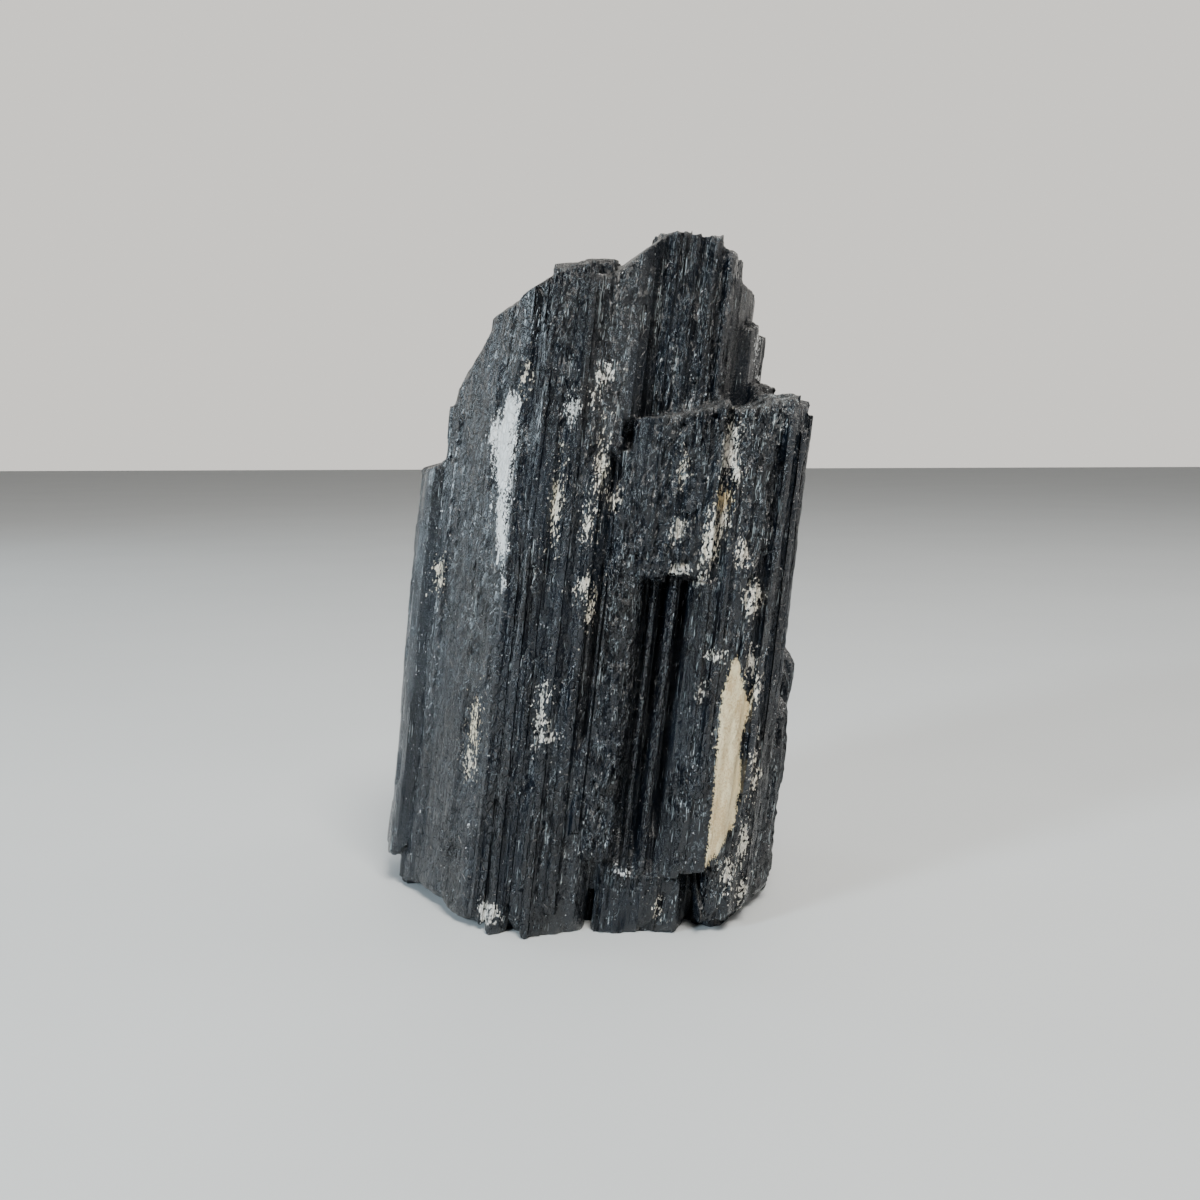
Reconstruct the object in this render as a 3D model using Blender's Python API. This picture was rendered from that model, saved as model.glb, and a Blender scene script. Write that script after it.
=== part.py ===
"""A raw black tourmaline: a bundle of striated crystals grown together, broken off in steps.

Every crystal is a straight column with a flat-sided outline, a foot and a sloping top. It is
made of blades, side by side, that stand back and break off at slightly different places. All
run along one long axis, which leans a little to the right. A Boolean union makes them the
single solid that they grew as. Chips are then cut away, and the stone is cut off flat where
it rests. The origin is the middle of the stone's box, at the surface that it stands on, with
+Z up and the face that is shown turned to -Y.
"""

import math

import bmesh
import bpy
import numpy as np

MM = 0.001

# Driving dimensions, in millimetres
LEAN = 0.115  # how far the long axis runs to the right for each unit of height
BURIED = -4.0  # where a column that reaches the ground starts, below the flat cut
OUTSIDE = -62.0  # a place well in front of the stone, where the front chips start
BLADE_OVERLAP = 0.25
CUT_JITTER = 0.3  # how far a cut between two blades wanders, as a share of a blade
SEED = 41

# The bundle's core: outline seen from above, foot, height over the outline's middle, and the
# rise of the top for each millimetre to the right and to the back
CORE = {
    "trunk": (
        [(-40, 4), (-36, -11), (-22, -33), (-6, -38.6), (14, -39.4), (29, -33), (36, -12),
         (37, 6), (31, 25), (14, 36.5), (-12, 37), (-32, 27)],
        BURIED, 96, 0.02, 0.02),
    "upper_trunk": (
        [(-18, -33), (0, -34.6), (15, -33.6), (19, -12), (17, 8), (-4, 14), (-19, 8)],
        60, 127, 0.0, 0.0),
}

# The crystals round it: as above, then the width of a blade, how far blades stand back, and
# how unevenly they break off
CRYSTALS = {
    "left_slab": (
        [(-48.2, 8), (-47.5, -3), (-45, -8.6), (-41, 0), (-43, 20)],
        6.0, 96.5, 0.3, 0.0, 4.0, 0.5, 1.0),
    "left_low": (
        [(-44, 10), (-43.2, -6.6), (-39, -13.6), (-36, -2), (-38, 18)],
        1.2, 99, 0.4, 0.0, 5.0, 0.4, 1.2),
    "left_face": (
        [(-40.4, 5), (-40, -12), (-32.6, -24.5), (-31.6, -10), (-32, 14), (-36, 16)],
        2.0, 122.4, 1.9, 0.06, 9.0, 0.3, 0.4),
    "left_shoulder": (
        [(-33.5, -23.03), (-27, -34), (-21.6, -39), (-20.6, 6), (-33, 10)],
        1.0, 132.4, 0.7, 0.05, 6.5, 0.3, 0.4),
    "centre_left": (
        [(-21.4, -28), (-20.7, -40.8), (-14, -43), (-13, -8), (-20.6, -4)],
        BURIED, 139.2, 0.08, 0.09, 2.4, 0.8, 1.0),
    "centre": (
        [(-15, -38), (-14.2, -44), (-9.2, -43.6), (-8.4, -8), (-15, -8)],
        BURIED, 139.6, 0.0, 0.09, 2.2, 0.7, 1.3),
    "peak_flank": (
        [(-10.2, -38), (-9.6, -43), (-2.6, -42.5), (0.9, -37.5), (-2.4, -23), (-10, -18)],
        BURIED, 138.6, 0.75, 0.10, 3.0, 0.5, 0.4),
    "peak": (
        [(0.2, -37.2), (5, -39), (12.6, -38.6), (14.6, -8), (-1, -10)],
        60, 144.2, -0.08, 0.05, 2.2, 0.6, 1.2),
    "peak_right": (
        [(11.4, -38.2), (15.9, -37.0), (19.4, -12), (12, -6)],
        60, 141.2, -0.3, 0.04, 2.6, 0.3, 0.8),
    "right_step": (
        [(14, -34), (18.2, -31), (22.4, -18), (22, 2), (13, 4)],
        60, 134.8, -0.5, 0.0, 4.0, 0.4, 1.2),
    "right_low_step": (
        [(18, -28), (21.5, -28), (25.4, -16), (26.6, 2), (20, 10)],
        60, 126.4, -0.3, 0.0, 5.0, 0.5, 2.0),
    "right_lump": (
        [(20.4, -24), (24, -28), (28, -25.4), (29.2, -17), (25, -11), (20.5, -14)],
        60, 114.2, 0.05, 0.0, 2.8, 0.3, 1.8),
    "front_block": (
        [(-1.2, -36), (-0.8, -44.8), (3, -46.4), (17.0, -46.8), (18.6, -34)],
        74.0, 108.8, 0.2, 0.0, 3.2, 1.2, 1.6),
    "front_block_left": (
        [(-4.4, -36), (-3.8, -43.0), (-0.6, -45.0), (0.4, -36)],
        75.5, 104.4, 0.9, 0.0, 2.4, 0.4, 0.6),
    "slot_left": (
        [(-3.4, -36), (-2.2, -43.2), (3.2, -44.4), (4.4, -42.6), (5.0, -36)],
        15.0, 80, 0.0, 0.0, 2.6, 0.6, 1.6),
    "slot_right": (
        [(13.6, -34), (14.2, -42.2), (17, -43.6), (23, -43.0), (24, -34)],
        12.0, 82, 0.0, 0.0, 2.4, 0.7, 1.6),
    "under_slots": (
        [(1.6, -34), (2.2, -40.6), (7, -42.2), (19, -41.6), (22, -34)],
        BURIED, 13.5, -0.1, 0.0, 2.6, 0.9, 1.6),
    "vein_side": (
        [(16.5, -32), (16.9, -44.6), (22, -45.6), (27.4, -44.6), (29, -32)],
        13.0, 110.4, 0.1, 0.0, 3.6, 0.6, 1.5),
    "right_front": (
        [(24, -26), (24.4, -43.8), (29.6, -42.2), (32.4, -37), (31, -20)],
        2.0, 111.8, 0.0, 0.05, 2.8, 0.8, 1.8),
    "right_side": (
        [(27, -26), (31, -39), (34.9, -31), (37.3, -16), (37.9, -2), (27, -2)],
        BURIED, 110.8, -0.14, 0.03, 2.8, 0.8, 1.8),
    "right_foot": (
        [(22, -24), (26, -39), (34, -34), (40.4, -20), (42.4, -4), (39, 10), (30, 12)],
        BURIED, 55, -1.0, 0.5, 3.4, 0.7, 11.0),
    "inner_left": (
        [(-22, -6), (-8, -9), (-6, 14), (-21, 15)],
        60, 131, 0.15, -0.1, 5.0, 0.3, 2.5),
    "inner_back": (
        [(-9, -10), (9, -12), (10, 14), (-7, 16)],
        60, 137, 0.1, -0.05, 4.4, 0.3, 2.5),
    "inner_right": (
        [(8, -12), (21, -10), (22, 9), (9, 14)],
        60, 127, -0.3, 0.0, 5.0, 0.3, 2.5),
    "back_left": (
        [(-40.4, 6), (-30, -2), (-22, 8), (-22, 31), (-31, 30.6), (-39.2, 18)],
        BURIED, 106, 0.8, -0.2, 3.4, 1.6, 4.0),
    "back_mid_left": (
        [(-25, 12), (-8, 10), (-5, 36), (-18, 39.5), (-28, 31)],
        BURIED, 119, 0.3, -0.25, 3.8, 1.3, 3.5),
    "back_middle": (
        [(-9, 12), (9, 11), (13, 35), (1, 42), (-10, 38.6)],
        BURIED, 129, 0.1, -0.3, 3.8, 1.2, 2.5),
    "back_right": (
        [(8, 9), (23, 6), (31, 22), (21, 35), (10, 38.6)],
        BURIED, 115, -0.4, -0.15, 4.0, 1.2, 3.5),
    "right_back": (
        [(22, -8), (34, -14), (37.6, 3), (34, 21), (24, 30)],
        BURIED, 100, -0.35, -0.1, 4.0, 1.2, 3.0),
}

# Slender ribs on the face: x of the middle, half width, how far out the face is, foot, top
RIBS = [
    (-38.6, 0.8, -14.8, 10, 108),
    (-30.4, 1.0, -29.2, 4, 118),
    (-23.6, 1.1, -38.2, 3, 102),
    (-19.4, 1.0, -42.4, BURIED, 136),
    (-16.8, 0.8, -43.0, 6, 96),
    (-12.2, 1.1, -45.2, BURIED, 134),
    (-7.6, 1.3, -44.4, 5, 96),
    (-4.4, 1.0, -43.6, 22, 101),
    (-1.6, 1.2, -40.8, 98, 136),
    (3.4, 0.6, -39.6, 100, 143.2),
    (7.2, 0.7, -40.0, 100, 142.9),
    (11.2, 0.7, -39.8, 100, 141.6),
    (14.6, 0.7, -38.8, 100, 138.6),
    (6.6, 0.8, -41.2, 13, 76),
    (10.4, 1.0, -42.2, 13, 76),
    (20.4, 0.9, -46.4, 30, 96),
    (30.0, 1.1, -43.6, 30, 107),
    (33.4, 1.0, -36.4, 4, 104),
    (35.4, 0.9, -30.2, 20, 107),
]
RIB_DEPTH = 7.0  # from a rib's ridge to its root, which is inside the stone
RIB_BEVELS = (1.0, 0.7)  # how far its left and its right shoulder are behind the ridge
RIDGE_SHIFT = 0.2  # how far the ridge is left of the middle, as a share of the half width
RIB_TOP_RISE = 0.3

# Rods that clothe the sides and the back: how many, from and to which angle seen from above
RODS = 38
ROD_FROM, ROD_TO = math.radians(-26.0), math.radians(192.0)
ROD_HALF_WIDTHS = (1.6, 3.2)
ROD_SIDES = 6
ROD_INSET = 1.25  # how far a rod's middle is inside the rim, in its half widths
ROD_DROPS = (1.0, 26.0)  # how far below the top of what carries it a rod breaks off
ROD_FEET = (0.8, 12.0)
BURIED_SHARE = 0.4  # the share of rods that reach the ground
ANGLE_JITTER, CORNER_JITTER, TOP_JITTER = 0.03, 0.2, 0.4
CARRIER_SHARE = 0.86  # what carries a rod is looked for this share of the way out to it
RIM_HALF_WIDTH = 41.0
RIM_HALF_DEPTH = 41.0
RIM_SHIFT = -2.5

# Chips, as columns that are cut away
CHIPS = {
    "groove": (
        [(-24.8, OUTSIDE), (-21.6, OUTSIDE), (-22.4, -35.0), (-24.0, -35.0)], 104, 150, 0.0, 0.0),
    "top_notch": (
        [(-12.8, OUTSIDE), (-8.6, OUTSIDE), (-9.4, -30), (-11.8, -30)], 134.8, 150, 0.0, 0.0),
    "slot": (
        [(7.6, OUTSIDE), (9.2, OUTSIDE), (9.0, -34.6), (7.8, -34.6)], 12.0, 73.4, 0.0, 0.0),
    "left_of_slot": (
        [(4.6, OUTSIDE), (5.8, OUTSIDE), (5.7, -35.0), (4.9, -35.0)], 14.0, 73.6, 0.0, 0.0),
    "thin_slot": (
        [(11.6, OUTSIDE), (13.4, OUTSIDE), (13.2, -34.8), (11.9, -34.8)], 20.0, 73.8, 0.0, 0.0),
    "edge_slot": (
        [(-5.4, OUTSIDE), (-4.0, OUTSIDE), (-4.1, -39.5), (-5.1, -39.5)], 40.0, 100, 0.0, 0.0),
    "block_groove": (
        [(17.0, OUTSIDE), (18.2, OUTSIDE), (18.0, -41.0), (17.3, -41.0)], 78.0, 130, 0.0, 0.0),
    "foot_cavity": (
        [(20.6, OUTSIDE), (25.2, OUTSIDE), (24.4, -36.5), (21.4, -36.5)], 4.0, 14.0, 0.2, 0.0),
    "foot_gap": (
        [(-0.4, OUTSIDE), (1.8, OUTSIDE), (1.4, -33.0), (0.2, -33.0)], -8, 9, 0.0, 0.0),
    "foot_notch": (
        [(-17.6, OUTSIDE), (-15.4, OUTSIDE), (-15.8, -39.0), (-17.2, -39.0)], -8, 7, 0.0, 0.0),
    "ledge_pit": (
        [(-3.8, OUTSIDE), (-1.0, OUTSIDE), (-1.4, -37.6), (-3.2, -37.6)], 100.5, 106.5, 0.0, 0.0),
    "right_under": (
        [(24, OUTSIDE), (60, OUTSIDE), (60, 4), (36, 4)], -8, 15.5, 1.3, -0.6),
    "left_nick": (
        [(-60, -6), (-46.4, -4), (-46.4, 0), (-60, 2)], 38.6, 41.2, 0.0, 0.0),
}
GROUND_HALF_WIDTH = 80.0
GROUND_DEPTH = -20.0

COLOUR = (0.012, 0.013, 0.017, 1.0)
ROUGHNESS = 0.34


def clear_scene():
    for old in list(bpy.data.objects):
        bpy.data.objects.remove(old, do_unlink=True)


def leaned(x, y, z):
    """A place in the bundle's own upright plan, in millimetres, moved along the leaning axis."""
    return ((x + LEAN * z) * MM, y * MM, z * MM)


def anticlockwise(outline):
    corners = np.array(outline, float)
    after = np.roll(corners, -1, axis=0)
    area = (corners[:, 0] * after[:, 1] - after[:, 0] * corners[:, 1]).sum() / 2
    return corners if area > 0 else corners[::-1]


def column(outline, foot, top, rise_x=0.0, rise_y=0.0):
    """An outline, a foot and the top's plane, as its height over the axis and its two rises."""
    outline = anticlockwise(outline)
    middle = outline.mean(axis=0)
    return outline, foot, (top - rise_x * middle[0] - rise_y * middle[1], rise_x, rise_y)


def top_at(made, x, y):
    level, rise_x, rise_y = made[2]
    return level + rise_x * x + rise_y * y


def holds(outline, x, y):
    """Whether a convex outline, given anticlockwise, has the place (x, y) inside it."""
    edges = np.roll(outline, -1, axis=0) - outline
    to_point = np.array([x, y]) - outline
    return bool((edges[:, 0] * to_point[:, 1] - edges[:, 1] * to_point[:, 0] > 0).all())


def clipped(outline, direction, limit):
    """The part of a convex outline that reaches no further than a limit along a direction."""
    kept = []
    for corner, after in zip(outline, np.roll(outline, -1, axis=0)):
        here, there = corner @ direction - limit, after @ direction - limit
        if here <= 0:
            kept.append(corner)
        if here * there < 0:
            kept.append(corner + (after - corner) * here / (here - there))
    return np.array(kept)


def blades(crystal, random):
    """One crystal as blades that lie side by side across the way it faces."""
    outline, foot, top, rise_x, rise_y, width, recess, ragged = crystal
    whole = column(outline, foot, top, rise_x, rise_y)
    outward = whole[0].mean(axis=0)
    outward = outward / np.linalg.norm(outward)
    across = np.array([-outward[1], outward[0]])
    reach = whole[0] @ across
    count = max(2, round((reach.max() - reach.min()) / width))
    cuts = np.linspace(reach.min(), reach.max(), count + 1)
    cuts[1:-1] += random.uniform(-CUT_JITTER, CUT_JITTER, count - 1) * width
    made = []
    for low, high in zip(cuts[:-1], cuts[1:]):
        strip = clipped(whole[0], across, high + BLADE_OVERLAP)
        strip = clipped(strip, -across, BLADE_OVERLAP - low)
        strip = strip - outward * random.uniform(0.0, recess)
        level = whole[2][0] - random.uniform(0.0, ragged)
        lifted = foot if foot < 0 else foot + random.uniform(0.0, ragged)
        made.append((strip, lifted, (level, rise_x, rise_y)))
    return made


def rib_column(x, half_width, front, foot, top):
    """A slender five-sided rib whose ridge points forward and whose root is inside the stone."""
    left, right = x - half_width, x + half_width
    root = front + RIB_DEPTH
    ridge = (x - RIDGE_SHIFT * half_width, front)
    left_bevel, right_bevel = RIB_BEVELS
    outline = [
        (left, root), (left, front + left_bevel), ridge, (right, front + right_bevel), (right, root)]
    return column(outline, foot, top, RIB_TOP_RISE)


def rods(crystals, random):
    """Slender six-sided rods round the sides and the back, each shorter than what it leans on."""
    angles = np.linspace(ROD_FROM, ROD_TO, RODS) + random.uniform(-ANGLE_JITTER, ANGLE_JITTER, RODS)
    made = []
    for angle in angles:
        radius = random.uniform(*ROD_HALF_WIDTHS)
        inset = ROD_INSET * radius
        x = RIM_SHIFT + (RIM_HALF_WIDTH - inset) * math.cos(angle)
        y = (RIM_HALF_DEPTH - inset) * math.sin(angle)
        carried = [top_at(c, x, y) for c in crystals if holds(c[0], CARRIER_SHARE * x, CARRIER_SHARE * y)]
        top = max(carried) - random.uniform(*ROD_DROPS)
        foot = BURIED if random.uniform() < BURIED_SHARE else random.uniform(*ROD_FEET)
        corner = np.arange(ROD_SIDES) + random.uniform(-CORNER_JITTER, CORNER_JITTER, ROD_SIDES)
        around = angle + corner * math.tau / ROD_SIDES
        outline = np.stack([x + radius * np.cos(around), y + radius * np.sin(around)], axis=1)
        made.append(column(outline, foot, top, *random.uniform(-TOP_JITTER, TOP_JITTER, 2)))
    return made


def bundle():
    """Every column of the stone: its core, the blades of its crystals, its ribs and its rods."""
    random = np.random.default_rng(SEED)
    core = [column(*made) for made in CORE.values()]
    whole = [column(*made[:5]) for made in CRYSTALS.values()]
    columns = core + [blade for made in CRYSTALS.values() for blade in blades(made, random)]
    columns += [rib_column(*rib) for rib in RIBS]
    columns += rods(core + whole, random)
    return columns


def middle_of(columns):
    """The middle of the box round all the columns, in metres, above the ground."""
    corners = np.array([
        leaned(x, y, z)
        for made in columns
        for x, y in made[0]
        for z in (max(made[1], 0.0), top_at(made, x, y))
    ])
    return (corners.min(axis=0) + corners.max(axis=0)) / 2


def column_mesh(name, made):
    """The closed mesh of one column: its outline at the foot, walls, and the outline on its top."""
    outline, foot, _ = made
    shape = bmesh.new()
    low = [shape.verts.new(leaned(x, y, foot)) for x, y in outline]
    high = [shape.verts.new(leaned(x, y, top_at(made, x, y))) for x, y in outline]
    shape.faces.new(low[::-1])
    shape.faces.new(high)
    for i in range(len(outline)):
        j = (i + 1) % len(outline)
        shape.faces.new((low[i], low[j], high[j], high[i]))
    mesh = bpy.data.meshes.new(name)
    shape.to_mesh(mesh)
    shape.free()
    return mesh


def helper(name, made, collection, place):
    """An object that only serves a Boolean, so it is kept out of renders and drawn as wire."""
    body = bpy.data.objects.new(name, column_mesh(name, made))
    collection.objects.link(body)
    body.location = place
    body.hide_render = True
    body.display_type = "WIRE"


def boolean(target, name, collection, operation):
    modifier = target.modifiers.new(name, "BOOLEAN")
    modifier.operand_type = "COLLECTION"
    modifier.collection = collection
    modifier.operation = operation
    modifier.solver = "EXACT"


def black_tourmaline():
    material = bpy.data.materials.new("black_tourmaline")
    material.use_nodes = True
    shader = material.node_tree.nodes["Principled BSDF"]
    shader.inputs["Base Color"].default_value = COLOUR
    shader.inputs["Roughness"].default_value = ROUGHNESS
    shader.inputs["Metallic"].default_value = 0.0
    return material


def build():
    clear_scene()
    columns = bundle()
    middle = middle_of(columns)
    place = (-middle[0], -middle[1], 0.0)

    stone = bpy.data.objects.new("tourmaline", column_mesh("tourmaline", columns[0]))
    bpy.context.scene.collection.objects.link(stone)
    stone.location = place
    stone.data.materials.append(black_tourmaline())
    grown = bpy.data.collections.new("grown_together")
    broken = bpy.data.collections.new("broken_away")
    for collection in (grown, broken):
        bpy.context.scene.collection.children.link(collection)
    for number, made in enumerate(columns[1:]):
        helper(f"column_{number:03d}", made, grown, place)
    for name, chip in CHIPS.items():
        helper(f"chip_{name}", column(*chip), broken, place)
    side = GROUND_HALF_WIDTH
    square = [(-side, -side), (side, -side), (side, side), (-side, side)]
    helper("cut_ground", column(square, GROUND_DEPTH, 0.0), broken, place)
    boolean(stone, "grow_together", grown, "UNION")
    boolean(stone, "break_away", broken, "DIFFERENCE")
    print(len(columns), "columns; middle of the box", [round(float(c) / MM, 2) for c in middle])


build()
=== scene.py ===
# %% [markdown]
# # A raw black tourmaline
# The real thing is one stone: a bundle of long black crystals that grew side by side, and broke
# off at different heights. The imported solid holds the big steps. This script grows the same
# bundle again as one fine surface, so that the needles, grains and breaks can be added to it,
# and then gives it a finish in which a cream mineral, white flakes and dust come and go.

# %% Load the solid that the picture is built round
import math

import bpy
import numpy as np
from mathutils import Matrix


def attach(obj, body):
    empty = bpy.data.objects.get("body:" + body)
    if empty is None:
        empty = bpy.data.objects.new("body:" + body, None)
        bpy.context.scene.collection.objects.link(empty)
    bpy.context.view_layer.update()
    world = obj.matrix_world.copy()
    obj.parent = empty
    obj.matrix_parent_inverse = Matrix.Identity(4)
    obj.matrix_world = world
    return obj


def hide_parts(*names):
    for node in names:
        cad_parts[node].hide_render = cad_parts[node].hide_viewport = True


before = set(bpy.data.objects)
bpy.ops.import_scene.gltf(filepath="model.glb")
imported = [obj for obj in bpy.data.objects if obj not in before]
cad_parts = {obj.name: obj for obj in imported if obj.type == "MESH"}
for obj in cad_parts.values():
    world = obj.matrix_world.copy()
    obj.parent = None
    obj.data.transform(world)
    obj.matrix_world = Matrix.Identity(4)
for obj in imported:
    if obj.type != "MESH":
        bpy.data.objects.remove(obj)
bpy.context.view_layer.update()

# %% [markdown]
# ## The bundle
# Each crystal is a straight column: an outline seen from above, a foot and a sloping top. One
# could sculpt the stone by hand instead, but a list of columns keeps every step where the solid
# has it, and says in numbers what the eye sees: which crystal stands forward, and how high it
# breaks off. All lengths are in millimetres, and the columns are upright until the very end,
# when the whole bundle is leaned along its axis.

# %% The core of the bundle, as in the solid
MM = 0.001
LEAN = 0.115  # how far the long axis runs to the right for each unit of height
BURIED = -4.0  # where a column that reaches the ground starts, below the flat cut
OUTSIDE = -62.0  # a place well in front of the stone, where the front chips start
BLADE_OVERLAP = 0.25
CUT_JITTER = 0.3  # how far a cut between two blades wanders, as a share of a blade
SEED = 41

# The bundle's core: outline seen from above, foot, height over the outline's middle, and the
# rise of the top for each millimetre to the right and to the back
CORE = {
    "trunk": (
        [(-40, 4), (-36, -11), (-22, -33), (-6, -38.6), (14, -39.4), (29, -33), (36, -12),
         (37, 6), (31, 25), (14, 36.5), (-12, 37), (-32, 27)],
        BURIED, 96, 0.02, 0.02),
    "upper_trunk": (
        [(-18, -33), (0, -34.6), (15, -33.6), (19, -12), (17, 8), (-4, 14), (-19, 8)],
        60, 127, 0.0, 0.0),
}

# %% [markdown]
# ### The left side and the middle
# These are the slabs at the far left, the two smooth faces that mirror the window, and the
# lined crystals beside the dark groove. Each row says where the crystal stands and how high it
# breaks off, and then how coarse its blades are, since no two crystals split alike.

# %% Crystals of the left side and the middle
# columns as above, then width of a blade, how far blades stand back, how unevenly they break
CRYSTALS = {
    "left_slab": (
        [(-48.2, 8), (-47.5, -3), (-45, -8.6), (-41, 0), (-43, 20)],
        6.0, 96.5, 0.3, 0.0, 4.0, 0.5, 1.0),
    "left_low": (
        [(-44, 10), (-43.2, -6.6), (-39, -13.6), (-36, -2), (-38, 18)],
        1.2, 99, 0.4, 0.0, 5.0, 0.4, 1.2),
    "left_face": (
        [(-40.4, 5), (-40, -12), (-32.6, -24.5), (-31.6, -10), (-32, 14), (-36, 16)],
        2.0, 122.4, 1.9, 0.06, 9.0, 0.3, 0.4),
    "left_shoulder": (
        [(-33.5, -23.03), (-27, -34), (-21.6, -39), (-20.6, 6), (-33, 10)],
        1.0, 132.4, 0.7, 0.05, 6.5, 0.3, 0.4),
    "centre_left": (
        [(-21.4, -28), (-20.7, -40.8), (-14, -43), (-13, -8), (-20.6, -4)],
        BURIED, 139.2, 0.08, 0.09, 2.4, 0.8, 1.0),
    "centre": (
        [(-15, -38), (-14.2, -44), (-9.2, -43.6), (-8.4, -8), (-15, -8)],
        BURIED, 139.6, 0.0, 0.09, 2.2, 0.7, 1.3),
}
print("left side and middle:", len(CRYSTALS), "crystals")

# %% [markdown]
# ### The peak
# The highest crystal has a flank that slopes up to it from the left, and at its right the stone
# goes down in steps with a lump at their foot. Steps are simply columns of other heights.

# %% Crystals of the peak
CRYSTALS.update({
    "peak_flank": (
        [(-10.2, -38), (-9.6, -43), (-2.6, -42.5), (0.9, -37.5), (-2.4, -23), (-10, -18)],
        BURIED, 138.6, 0.75, 0.10, 3.0, 0.5, 0.4),
    "peak": (
        [(0.2, -37.2), (5, -39), (12.6, -38.6), (14.6, -8), (-1, -10)],
        60, 144.2, -0.08, 0.05, 2.2, 0.6, 1.2),
    "peak_right": (
        [(11.4, -38.2), (15.9, -37.0), (19.4, -12), (12, -6)],
        60, 141.2, -0.3, 0.04, 2.6, 0.3, 0.8),
    "right_step": (
        [(14, -34), (18.2, -31), (22.4, -18), (22, 2), (13, 4)],
        60, 134.8, -0.5, 0.0, 4.0, 0.4, 1.2),
    "right_low_step": (
        [(18, -28), (21.5, -28), (25.4, -16), (26.6, 2), (20, 10)],
        60, 126.4, -0.3, 0.0, 5.0, 0.5, 2.0),
    "right_lump": (
        [(20.4, -24), (24, -28), (28, -25.4), (29.2, -17), (25, -11), (20.5, -14)],
        60, 114.2, 0.05, 0.0, 2.8, 0.3, 1.8),
})
print("with the peak:", len(CRYSTALS), "crystals")

# %% [markdown]
# ### The front block and the recess under it
# A block hangs in front of the stone like an awning. Below it the crystals have fallen out and
# left two black slots, with straight, lined crystal at their right and the cream seam beside it.
# The recess isn't cut: the columns round it just stand further forward than the core does.

# %% Crystals of the front and the right
CRYSTALS.update({
    "front_block": (
        [(-1.2, -36), (-0.8, -44.8), (3, -46.4), (17.0, -46.8), (18.6, -34)],
        74.0, 108.8, 0.2, 0.0, 3.2, 1.2, 1.6),
    "front_block_left": (
        [(-4.4, -36), (-3.8, -43.0), (-0.6, -45.0), (0.4, -36)],
        75.5, 104.4, 0.9, 0.0, 2.4, 0.4, 0.6),
    "slot_left": (
        [(-3.4, -36), (-2.2, -43.2), (3.2, -44.4), (4.4, -42.6), (5.0, -36)],
        15.0, 80, 0.0, 0.0, 2.6, 0.6, 1.6),
    "slot_right": (
        [(13.6, -34), (14.2, -42.2), (17, -43.6), (23, -43.0), (24, -34)],
        12.0, 82, 0.0, 0.0, 2.4, 0.7, 1.6),
    "under_slots": (
        [(1.6, -34), (2.2, -40.6), (7, -42.2), (19, -41.6), (22, -34)],
        BURIED, 13.5, -0.1, 0.0, 2.6, 0.9, 1.6),
    "vein_side": (
        [(16.5, -32), (16.9, -44.6), (22, -45.6), (27.4, -44.6), (29, -32)],
        13.0, 110.4, 0.1, 0.0, 3.6, 0.6, 1.5),
    "right_front": (
        [(24, -26), (24.4, -43.8), (29.6, -42.2), (32.4, -37), (31, -20)],
        2.0, 111.8, 0.0, 0.05, 2.8, 0.8, 1.8),
    "right_side": (
        [(27, -26), (31, -39), (34.9, -31), (37.3, -16), (37.9, -2), (27, -2)],
        BURIED, 110.8, -0.14, 0.03, 2.8, 0.8, 1.8),
    "right_foot": (
        [(22, -24), (26, -39), (34, -34), (40.4, -20), (42.4, -4), (39, 10), (30, 12)],
        BURIED, 55, -1.0, 0.5, 3.4, 0.7, 11.0),
})
print("with the front:", len(CRYSTALS), "crystals")

# %% [markdown]
# ### The inside of the top and the back
# The photo doesn't show these. They carry on what it does show: steps that fall away from the
# peak, as on a bundle that broke across.

# %% Crystals of the inside and the back
CRYSTALS.update({
    "inner_left": (
        [(-22, -6), (-8, -9), (-6, 14), (-21, 15)],
        60, 131, 0.15, -0.1, 5.0, 0.3, 2.5),
    "inner_back": (
        [(-9, -10), (9, -12), (10, 14), (-7, 16)],
        60, 137, 0.1, -0.05, 4.4, 0.3, 2.5),
    "inner_right": (
        [(8, -12), (21, -10), (22, 9), (9, 14)],
        60, 127, -0.3, 0.0, 5.0, 0.3, 2.5),
    "back_left": (
        [(-40.4, 6), (-30, -2), (-22, 8), (-22, 31), (-31, 30.6), (-39.2, 18)],
        BURIED, 106, 0.8, -0.2, 3.4, 1.6, 4.0),
    "back_mid_left": (
        [(-25, 12), (-8, 10), (-5, 36), (-18, 39.5), (-28, 31)],
        BURIED, 119, 0.3, -0.25, 3.8, 1.3, 3.5),
    "back_middle": (
        [(-9, 12), (9, 11), (13, 35), (1, 42), (-10, 38.6)],
        BURIED, 129, 0.1, -0.3, 3.8, 1.2, 2.5),
    "back_right": (
        [(8, 9), (23, 6), (31, 22), (21, 35), (10, 38.6)],
        BURIED, 115, -0.4, -0.15, 4.0, 1.2, 3.5),
    "right_back": (
        [(22, -8), (34, -14), (37.6, 3), (34, 21), (24, 30)],
        BURIED, 100, -0.35, -0.1, 4.0, 1.2, 3.0),
})
print("in all:", len(CRYSTALS), "crystals")

# %% [markdown]
# ### Ribs and rods
# Ribs are the slender ridges that draw light lines down the front. Where they stand is part of
# the stone's face, so each has its own row. The rods at the sides and the back are a texture
# more than a shape, so they are drawn by lot between limits, always with the same seed.

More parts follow.
